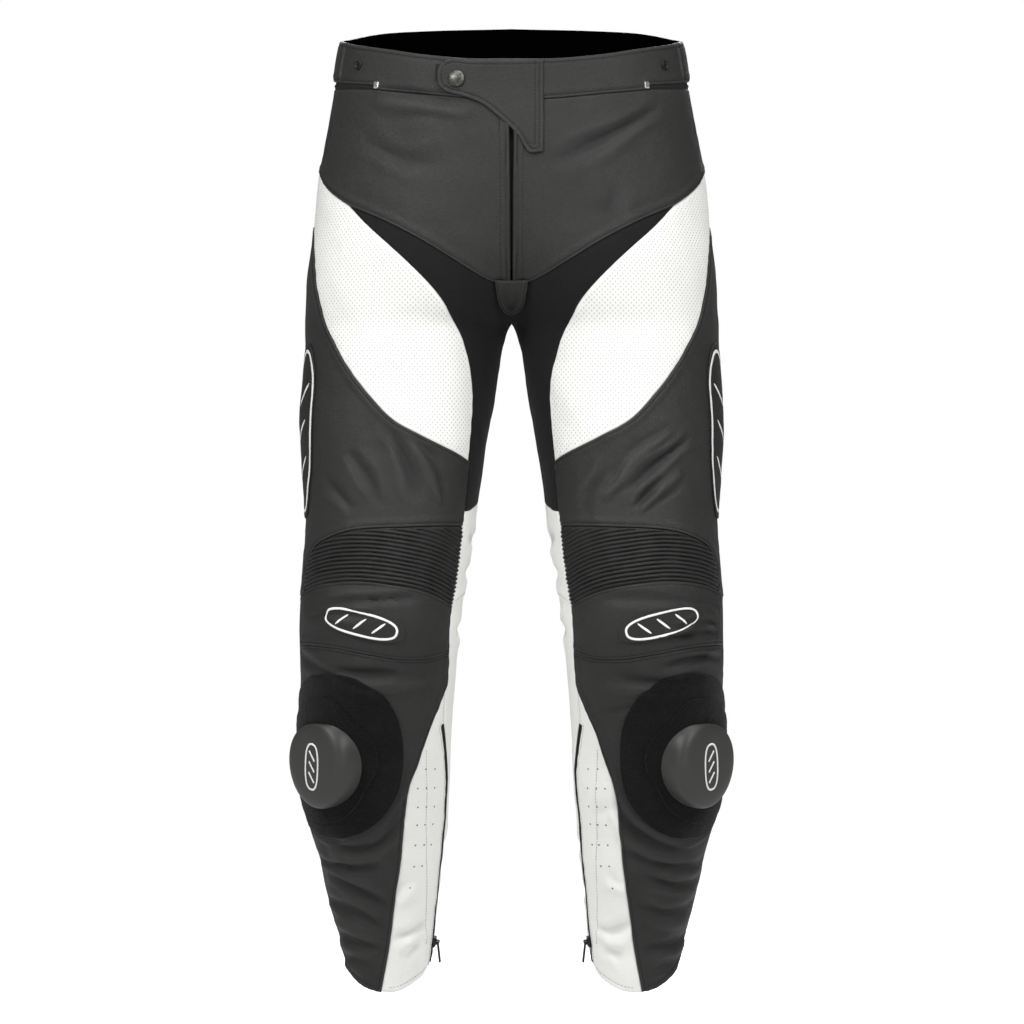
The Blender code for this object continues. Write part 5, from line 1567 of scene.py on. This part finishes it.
def rounded(profile, step=0.35):
    """A profile with its corners eased: a cubic through its points."""
    profile = np.array(profile, float)
    run = lengths_along(profile)
    return smooth_rows(np.column_stack((run, profile)),
                       np.linspace(0, run[-1], max(8, round(run[-1] / step))))


def seated(points, place, lift, side=1, mapping=form_points):
    """Points of a fitting whose x, y and z are put along level, up and out at a place."""
    spot, out = form_frame([place], mapping)
    out = out[0] * (side, 1, 1)
    spot = spot[0] * (side, 1, 1) + out * lift
    level = normalized(np.cross(out, (0, 0, 1)))
    up = np.cross(out, level)
    return spot + points @ np.array((level, up, out))


def snap_piece(name, profile, place, lift, material, side=1, mapping=form_points):
    """A turned snap at a place."""
    points = seated(turned_points(profile), place, lift, side, mapping)
    return add_turned("turned_" + name, points, 1, material, (name,))


# ---------------------------------------------------------------- settings
class TrousersSizes(bpy.types.PropertyGroup):
    """Sizes that a user would change."""
    fold_depth: bpy.props.FloatProperty(
        name="Fold depth", description="Depth of the folds, as a share of the drawn ones",
        default=1.3, min=0.0, max=3.0, subtype="FACTOR")
    pucker: bpy.props.FloatProperty(
        name="Pucker", description="Depth of the puckers beside the seams, in millimetres",
        default=0.42, min=0.0, max=1.5)
    rib_pitch: bpy.props.FloatProperty(
        name="Rib pitch", description="Distance between the ribs over the knee, in millimetres",
        default=4.3, min=2.0, max=12.0)
    rib_depth: bpy.props.FloatProperty(
        name="Rib depth", description="Depth of the ribs over the knee, in millimetres",
        default=2.7, min=0.0, max=4.0)
    gathering: bpy.props.FloatProperty(
        name="Gathering", description="Length of the ribbed leather laid flat, over its length",
        default=1.25, min=1.0, max=2.0, subtype="FACTOR")
    stitch_pitch: bpy.props.FloatProperty(
        name="Stitch pitch", description="Distance from stitch to stitch", default=0.0036,
        min=0.002, max=0.008, unit="LENGTH")
    stitch_length: bpy.props.FloatProperty(
        name="Stitch length", description="Length of one stitch", default=0.0026, min=0.001,
        max=0.006, unit="LENGTH")
    thread_radius: bpy.props.FloatProperty(
        name="Thread radius", description="Radius of the sewing thread", default=0.00032,
        min=0.0001, max=0.001, unit="LENGTH")


def colour_property(name, description, default):
    """A linear colour with its name and description."""
    return bpy.props.FloatVectorProperty(name=name, description=description, subtype="COLOR",
                                         size=3, min=0.0, max=1.0, default=default)


class TrousersColours(bpy.types.PropertyGroup):
    """Colours that a user would change."""
    black_leather: colour_property("Black leather", "Colour of the black panels",
                                   (0.0186, 0.0186, 0.0175))
    white_leather: colour_property("White leather", "Colour of the white panels",
                                   (0.88, 0.88, 0.85))
    stretch_fabric: colour_property("Stretch fabric", "Colour of the inner thigh",
                                    (0.012, 0.012, 0.012))
    loop_felt: colour_property("Loop felt", "Colour of the knee slider's ground",
                               (0.0078, 0.0078, 0.008))
    slider_plastic: colour_property("Knee slider", "Colour of the knee slider",
                                    (0.0295, 0.0295, 0.0275))


# ---------------------------------------------------------------- operators
class TrousersOperator(bpy.types.Operator):
    """What the operators share."""
    bl_options = {"REGISTER", "UNDO"}
    panels = ()

    def sew(self, settings):
        """Sew the named panels of both halves."""
        for name in self.panels:
            for word, side in SIDES:
                sew_panel(name, word, side, settings)

    def execute(self, context):
        self.sew(context.scene.trousers_sizes)
        return {"FINISHED"}


class TROUSERS_OT_waistband(TrousersOperator):
    """Sew the waistband's front, side and back pieces"""
    bl_idname = "trousers.waistband"
    bl_label = "Waistband"
    panels = ("band_front", "band_side", "band_back")


class TROUSERS_OT_hips(TrousersOperator):
    """Sew the hip panels and the seat"""
    bl_idname = "trousers.hips"
    bl_label = "Hips and seat"
    panels = ("hip_front", "seat")


class TROUSERS_OT_thighs(TrousersOperator):
    """Sew the white, outer, inner and back panels of the thighs"""
    bl_idname = "trousers.thighs"
    bl_label = "Thighs"
    panels = ("thigh_white", "thigh_outer", "inner_stretch", "thigh_back")


class TROUSERS_OT_knees(TrousersOperator):
    """Sew the ribs, the cups and the white inserts of the knees"""
    bl_idname = "trousers.knees"
    bl_label = "Knees"
    panels = ("knee_ribs", "knee_cup", "knee_white")


class TROUSERS_OT_shins(TrousersOperator):
    """Sew the shins and calves"""
    bl_idname = "trousers.shins"
    bl_label = "Shins and calves"
    panels = ("shin_front", "calf_white", "calf_side_white", "calf_back")


class TROUSERS_OT_perforations(TrousersOperator):
    """Punch the short rows of holes in the white calf panels"""
    bl_idname = "trousers.perforations"
    bl_label = "Calf perforations"

    def execute(self, context):
        settings = context.scene.trousers_sizes
        places = np.array([(angle, height) for height, angles in CALF_HOLES for angle in angles],
                          float)
        template, quads = hole_template(1.0)
        for word, side in SIDES:
            points, normals = form_frame(places)
            relief = body_relief(places, points * (side, 1, 1), word, settings)
            along = normalized(np.cross(normals, (1.0, 0.0, 0.0)))
            made, faces = stamps(template, quads, raised(points, normals, relief), along, normals,
                                 side)
            mesh = make_mesh("calf_holes_" + word, made, faces)
            add_piece("calf_holes_" + word, mesh, ("hole_dark",))
        return {"FINISHED"}


class TROUSERS_OT_flap_and_tab(TrousersOperator):
    """Sew the fly flap and the crotch tab"""
    bl_idname = "trousers.flap_and_tab"
    bl_label = "Fly flap and crotch tab"

    def execute(self, context):
        settings = context.scene.trousers_sizes
        edge = through(FLAP_EDGE, 1.5, 1.0)
        marks = [nearest(edge, place) for place in ((66, -26), (68, -59), (-17, -122))]
        right = through((FLAP_LOW_RIGHT, FLAP_TOP_RIGHT), 1.5, 1.0)
        sides = (edge[:marks[0] + 1], edge[marks[0]:marks[1] + 1], edge[marks[1]:marks[2] + 1],
                 np.vstack((edge[marks[2]:], right[1:])))
        span_piece("fly_flap", sides, LYING_GAP + LEATHER, LEATHER, 1.8,
                   ("flap", "flap", "flap", "flap_end"), settings,
                   ("band_front_left", "band_front_right", "hip_front_right"), flap_stand)
        edge = through(TAB_EDGE, 1.0, 1.0)
        marks = [nearest(edge, place) for place in ((-12.6, -281), (12.6, -281))]
        top = through((TAB_RIGHT, TAB_LEFT), 1.0, 1.0)
        sides = (top, edge[:marks[0] + 1], edge[marks[0]:marks[1] + 1], edge[marks[1]:])
        span_piece("crotch_tab", sides, LYING_GAP + CROTCH_EASE + LEATHER, LEATHER, 1.3,
                   ("plain", "tab", "tab", "tab"), settings,
                   ("hip_front_left", "hip_front_right"))
        # Painted shade: a thin dark sheet in the zip tape's material stands for the shaded gap
        # between the waistband's ends beside the flap.
        places = place_grid(np.linspace(*NOTCH_X, 12), np.linspace(*NOTCH_HEIGHTS, 16))
        base, normals = on_grid(places, across_points)
        low, high = NOTCH_LIFT
        mesh = shell("band_notch", base + normals * high, base + normals * low)
        add_piece("band_notch", mesh, ("zip_tape", "zip_tape"))
        return {"FINISHED"}


class TROUSERS_OT_zips(TrousersOperator):
    """Sew the zips of the waistband, the fly and the ankles"""
    bl_idname = "trousers.zips"
    bl_label = "Zips"

    def execute(self, context):
        settings = context.scene.trousers_sizes
        for name in ZIPS:
            for word, side in SIDES:
                sew_zip(name, word, side, settings)
        half, top, foot = FLY_ZIP_SIZE
        places = place_grid(np.linspace(-half, half, 21), np.linspace(foot, top, 300))
        base, normals = on_grid(places, across_points)
        x, z = places[..., 0], places[..., 1]
        tooth = 0.5 + 0.5 * np.cos(2 * math.pi * (z / FLY_TOOTH_PITCH + 0.25 * np.sign(x)))
        teeth = np.exp(-(x / 2.0) ** 4) * (0.3 + 0.7 * tooth)
        lift = -LEATHER - FLY_ZIP_DEPTH
        values = cloth_values(x, z, np.full(teeth.shape, 9.0), 1 - teeth)
        mesh = shell("fly_zip", raised(base, normals, lift + FLY_TOOTH_HEIGHT * teeth),
                     base + normals * (lift - ZIP_TAPE), values=values)
        add_piece("sewn_fly_zip", mesh, ("zip_tape", "lining_cloth"), ("fly_zip",))
        return {"FINISHED"}


class TROUSERS_OT_knee_sliders(TrousersOperator):
    """Lay the loop patches and pads on the shins and set the knee sliders on them"""
    bl_idname = "trousers.knee_sliders"
    bl_label = "Knee sliders"

    def execute(self, context):
        settings = context.scene.trousers_sizes
        step = LYING_GAP + LOOP_FELT
        for word, side in SIDES:
            sew_patch("loop_patch", word, side, settings, PATCH_PLACE,
                      oval_rim(PATCH_PLACE, PATCH_SIZE, 2.2, 0.0, 156), LOOP_FELT, step,
                      ("loop_felt", "loop_felt"), 0.28, "shin_front")
            sew_patch("loop_pad", word, side, settings, PAD_PLACE, through(PAD_EDGE, 3.4)[:-1],
                      LOOP_FELT, 2 * step, ("loop_pad_felt", "loop_felt"), 0.3,
                      "loop_patch")
            self.add_slider(word, side)
        return {"FINISHED"}

    def add_slider(self, word, side):
        """The slider's base on the pad and its shell, with a plain raised print on its face."""
        turns = np.linspace(0, 2 * math.pi, 120, endpoint=False)[:, None]
        foot = slider_foot(turns * np.ones((1, 5)), np.array((0.0, 0.3, 0.6, 0.85, 0.97))[None])
        rise = np.linspace(0, 1, 30)[None] ** 1.7 * math.pi / 2
        wall = slider_points(turns, np.cos(rise) ** (2 / SLIDER_CORNER))
        points = np.concatenate((foot, wall), axis=1)
        add_turned("moulded_knee_slider_" + word, points, side, "slider_plastic",
                   ("knee_slider_" + word,))
        turn = np.linspace(0, 2 * math.pi, 96, endpoint=False)
        share = np.linspace(-1, 1, 16)
        prints = [(PRINT_SIZE[0] * power_wave(np.cos(turn), PRINT_POWER),
                   PRINT_SIZE[1] * power_wave(np.sin(turn), PRINT_POWER), True)]
        prints += [(4.2 * share, 4.6 * share + height, False) for height in (-11.0, 0.0, 11.0)]
        offsets = np.linspace(-PRINT_HALF_WIDTH, PRINT_HALF_WIDTH, 5)
        dome = (0.3 + 0.25 * (1 - (offsets / PRINT_HALF_WIDTH) ** 2))[None, :, None]
        meshes = []
        for x, y, closed in prints:
            line = tilted(x, y, PRINT_TILT)
            ahead = ahead_of(line, closed)
            flat = line[:, None] + offsets[None, :, None] \
                * np.stack((-ahead[:, 1], ahead[:, 0]), axis=-1)[:, None]
            width = np.hypot(flat[..., 0], flat[..., 1]) / SLIDER_RADIUS
            base = slider_points(np.arctan2(flat[..., 1], flat[..., 0]), width)
            meshes.append(shell("print", base + SLIDER_AXIS * dome, base - SLIDER_AXIS * 0.3,
                                side, closed=closed))
        mesh = joined_mesh("slider_print_" + word, meshes)
        add_piece("slider_print_" + word, mesh, ("overlay_print",))


def power_wave(wave, power):
    """A sine or cosine raised so that the oval it draws is squarer."""
    return np.sign(wave) * np.abs(wave) ** (2 / power)


def slider_axis():
    """The way the knee slider faces, and the level across it."""
    swing, tilt = (math.radians(angle) for angle in SLIDER_AIM)
    axis = np.array((math.sin(swing) * math.cos(tilt), -math.cos(swing) * math.cos(tilt),
                     -math.sin(tilt)))
    return axis, normalized(np.cross(axis, (0, 0, 1)))


SLIDER_AXIS, SLIDER_LEVEL = slider_axis()


def slider_foot(turns, widths):
    """Points of the slider's foot, which follows the pad at a share of the slider's radius."""
    turns, widths = np.broadcast_arrays(turns, widths)
    radius = SLIDER_RADIUS * widths
    places = np.stack((SLIDER_PLACE[0] - radius * np.cos(turns) / SHIN_PER_DEGREE,
                       SLIDER_PLACE[1] + radius * np.sin(turns)), axis=-1)
    points, normals = on_grid(places)
    return points + normals * (2 * (LYING_GAP + LOOP_FELT) + LYING_GAP)


def slider_points(turns, widths):
    """Points of the slider's shell: from its foot's rim towards its face's middle it rises as a
    superellipse, so its wall is steep, its shoulder soft and its face nearly flat."""
    turns, widths = np.broadcast_arrays(turns, widths)
    share = (1 - np.clip(widths, 0, 1) ** SLIDER_CORNER) ** (1 / SLIDER_CORNER)
    foot = slider_foot(turns, np.ones_like(widths))
    face = form_points([SLIDER_PLACE])[0] + SLIDER_AXIS * SLIDER_HEIGHT
    across = np.cos(turns)[..., None] * -SLIDER_LEVEL \
        + np.sin(turns)[..., None] * np.cross(SLIDER_LEVEL, SLIDER_AXIS)
    flat = face + across * (SLIDER_RADIUS * SLIDER_BULGE * widths)[..., None]
    return foot * (1 - share[..., None]) + flat * share[..., None]


def add_turned(name, points, side, material, nodes):
    """Add a closed shape given as rings round an axis, in one material."""
    centre = points.mean(axis=(0, 1))
    mesh = shell(name, points - centre, side=side, closed=True)
    moved = read_all(mesh.vertices, "co", 3).reshape(-1, 3) + centre * (side, 1, 1) * MM
    mesh.vertices.foreach_set("co", moved.ravel())
    mesh.update()
    return add_piece(name, mesh, (material,), nodes)


class TROUSERS_OT_overlays(TrousersOperator):
    """Lay the outlined overlays on the thighs and the knee cups"""
    bl_idname = "trousers.overlays"
    bl_label = "Overlays"

    def execute(self, context):
        settings = context.scene.trousers_sizes
        for word, side in SIDES:
            for name, under, spot, size, power, tilt, lift, wide, half in OVERLAYS:
                lift += LYING_GAP + BADGE
                reach = max(size[0] * FLAT_PER_DEGREE, size[1])
                sew_patch(name, word, side, settings, spot,
                          oval_rim(spot, size, power, tilt, round(reach * 1.5)), BADGE, lift,
                          ("overlay_leather", "lining_cloth"), 0.0, under)
                rim = oval_rim(spot, size, power, tilt, round(reach * 3.2), 2.6)
                prints = [ribbon(name + "_outline", rim, wide, lift, word, side, settings)]
                for share in BAR_SHARES:
                    line, taper = self.bar(spot, size, tilt, share, half)
                    prints.append(ribbon(name, line, wide * taper, lift, word, side, settings,
                                         closed=False))
                mesh = joined_mesh(name + "_outline", prints)
                add_piece(name + "_outline_" + word, mesh, ("overlay_print",))
        return {"FINISHED"}

    def bar(self, spot, size, tilt, share, half):
        """The line of a short slanted bar across an overlay, at a share of its longer side, and its
        width's taper towards both ends."""
        t = np.linspace(-1, 1, 24)
        across, up = t * half, t * half
        if size[1] > size[0] * FLAT_PER_DEGREE:
            up = share * size[1] * BAR_SPREAD + up
        else:
            across = share * size[0] * FLAT_PER_DEGREE * BAR_SPREAD + across
        line = tilted(across, up, tilt) / (FLAT_PER_DEGREE, 1.0) + spot
        return line, 1 - 0.75 * np.abs(t) ** 4


class TROUSERS_OT_fittings(TrousersOperator):
    """Set the snaps, and finish the zip sliders and the ankle pulls"""
    bl_idname = "trousers.fittings"
    bl_label = "Snaps and sliders"

    def execute(self, context):
        radius, height = FLAP_SNAP_RADIUS, FLAP_SNAP_HEIGHT
        dome = rounded(((radius, 0.4), (radius, 0.9), (radius * 0.95, 1.4),
                        (radius * 0.84, 1.9), (radius * 0.66, 2.5), (radius * 0.42, 3.0),
                        (radius * 0.2, height * 0.97), (0, height)), 0.2)
        profile = np.vstack(((0, 0.1), (radius * 0.9, 0.1), dome))
        snap_piece("flap_snap", profile, (-FLAP_SNAP_PLACE[0], FLAP_SNAP_PLACE[1]),
                   LYING_GAP + LEATHER + SEAM_GAP + 1.0, "dark_metal", mapping=across_points)
        radius, height = BAND_SNAP_RADIUS, BAND_SNAP_HEIGHT
        for word, side in SIDES:
            ring = rounded(((radius, 0.3), (radius, height * 0.6), (radius * 0.9, height),
                            (radius * 0.65, height * 0.95), (radius * 0.5, height * 0.5),
                            (radius * 0.3, height * 0.35), (0, height * 0.35)), 0.2)
            profile = np.vstack(((0, 0.1), (radius * 0.95, 0.1), ring))
            snap_piece("band_snap_" + word, profile, BAND_SNAP_PLACE, SEAM_GAP + 0.8,
                       "black_metal", side)
        known = finishes()
        for name, material in (("waist_slider", "bright_metal"), ("ankle_slider", "black_metal"),
                               ("ankle_pull", "black_metal")):
            for word, _ in SIDES:
                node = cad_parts[name + "_" + word]
                for slot in node.material_slots:
                    slot.material = known[material]
        return {"FINISHED"}


class TROUSERS_OT_stage(TrousersOperator):
    """Lay the pale floor, hang the soft lights and set the camera"""
    bl_idname = "trousers.stage"
    bl_label = "Stage"

    def execute(self, context):
        scene = context.scene
        grid = place_grid(*[np.linspace(-FLOOR_HALF, FLOOR_HALF, 5)] * 2)
        points = np.concatenate((grid, np.full((5, 5, 1), FLOOR_HEIGHT)), axis=-1)
        mesh = make_mesh("floor", points.reshape(-1, 3), grid_faces(np.arange(25).reshape(5, 5)))
        board = Board("floor_pale")
        cloud = board.noise(board.place(), 1.5)
        pale = board.blend(cloud, (0.5, 0.5, 0.5), (0.54, 0.54, 0.54))
        seen = board.add("ShaderNodeLightPath", output="Is Camera Ray")
        glow = board.blend(seen, (0.1, 0.1, 0.1), (1.0, 1.0, 1.0))
        mesh.materials.append(board.finish(Base_Color=pale, Roughness=0.9, Emission_Color=glow,
                                           Emission_Strength=1.0))
        floor = bpy.data.objects.new("floor", mesh)
        scene.collection.objects.link(floor)
        self.add_world(scene)
        for name, spot, size, power in LIGHTS:
            lamp = bpy.data.lights.new(name, "AREA")
            lamp.shape = "RECTANGLE"
            lamp.size, lamp.size_y, lamp.energy = *size, power
            light = bpy.data.objects.new(name, lamp)
            light.location = spot
            light.rotation_mode = "QUATERNION"
            aim = Vector(np.subtract(LIGHT_AIM, spot))
            light.rotation_quaternion = aim.to_track_quat("-Z", "Y")
            scene.collection.objects.link(light)
        camera = bpy.data.cameras.new("camera")
        camera.lens, camera.sensor_width, camera.clip_end = CAMERA_LENS, CAMERA_SENSOR, CAMERA_REACH
        seat = bpy.data.objects.new("camera", camera)
        seat.location = CAMERA_PLACE
        seat.rotation_euler = (math.pi / 2, 0, 0)
        scene.collection.objects.link(seat)
        scene.camera = seat
        scene.view_settings.view_transform = "Standard"
        return {"FINISHED"}

    def add_world(self, scene):
        """A white surround to look at, and a dimmer one that lights the garment."""
        world = bpy.data.worlds.new("surround")
        world.use_nodes = True
        tree = world.node_tree
        back = tree.nodes["Background"]
        back.inputs["Color"].default_value = (1, 1, 1, 1)
        path = tree.nodes.new("ShaderNodeLightPath")
        level = tree.nodes.new("ShaderNodeMapRange")
        level.inputs[3].default_value, level.inputs[4].default_value = AMBIENT, 1.0
        tree.links.new(path.outputs["Is Camera Ray"], level.inputs[0])
        tree.links.new(level.outputs[0], back.inputs["Strength"])
        scene.world = world


class TROUSERS_PT_panel(bpy.types.Panel):
    """The trousers' sizes, colours and pieces"""
    bl_idname = "TROUSERS_PT_panel"
    bl_label = "Motorcycle Trousers"
    bl_space_type = "VIEW_3D"
    bl_region_type = "UI"
    bl_category = "Trousers"

    def draw(self, context):
        layout = self.layout
        for owner in (context.scene.trousers_sizes, context.scene.trousers_colours):
            box = layout.box()
            for name in owner.__annotations__:
                box.prop(owner, name)
        column = layout.column(align=True)
        for operator in OPERATORS:
            column.operator(operator.bl_idname)


OPERATORS = (TROUSERS_OT_waistband, TROUSERS_OT_hips, TROUSERS_OT_thighs, TROUSERS_OT_knees,
             TROUSERS_OT_shins, TROUSERS_OT_perforations, TROUSERS_OT_flap_and_tab,
             TROUSERS_OT_zips, TROUSERS_OT_knee_sliders, TROUSERS_OT_overlays,
             TROUSERS_OT_fittings, TROUSERS_OT_stage)
CLASSES = (TrousersSizes, TrousersColours, *OPERATORS, TROUSERS_PT_panel)


def register():
    """Register the classes and hang the settings on the scene."""
    for each in CLASSES:
        bpy.utils.register_class(each)
    bpy.types.Scene.trousers_sizes = bpy.props.PointerProperty(type=TrousersSizes)
    bpy.types.Scene.trousers_colours = bpy.props.PointerProperty(type=TrousersColours)


def unregister():
    """Undo register."""
    del bpy.types.Scene.trousers_colours
    del bpy.types.Scene.trousers_sizes
    for each in reversed(CLASSES):
        bpy.utils.unregister_class(each)


def main():
    register()
    for operator in OPERATORS:
        group, name = operator.bl_idname.split(".")
        getattr(getattr(bpy.ops, group), name)()


if __name__ == "__main__":
    main()
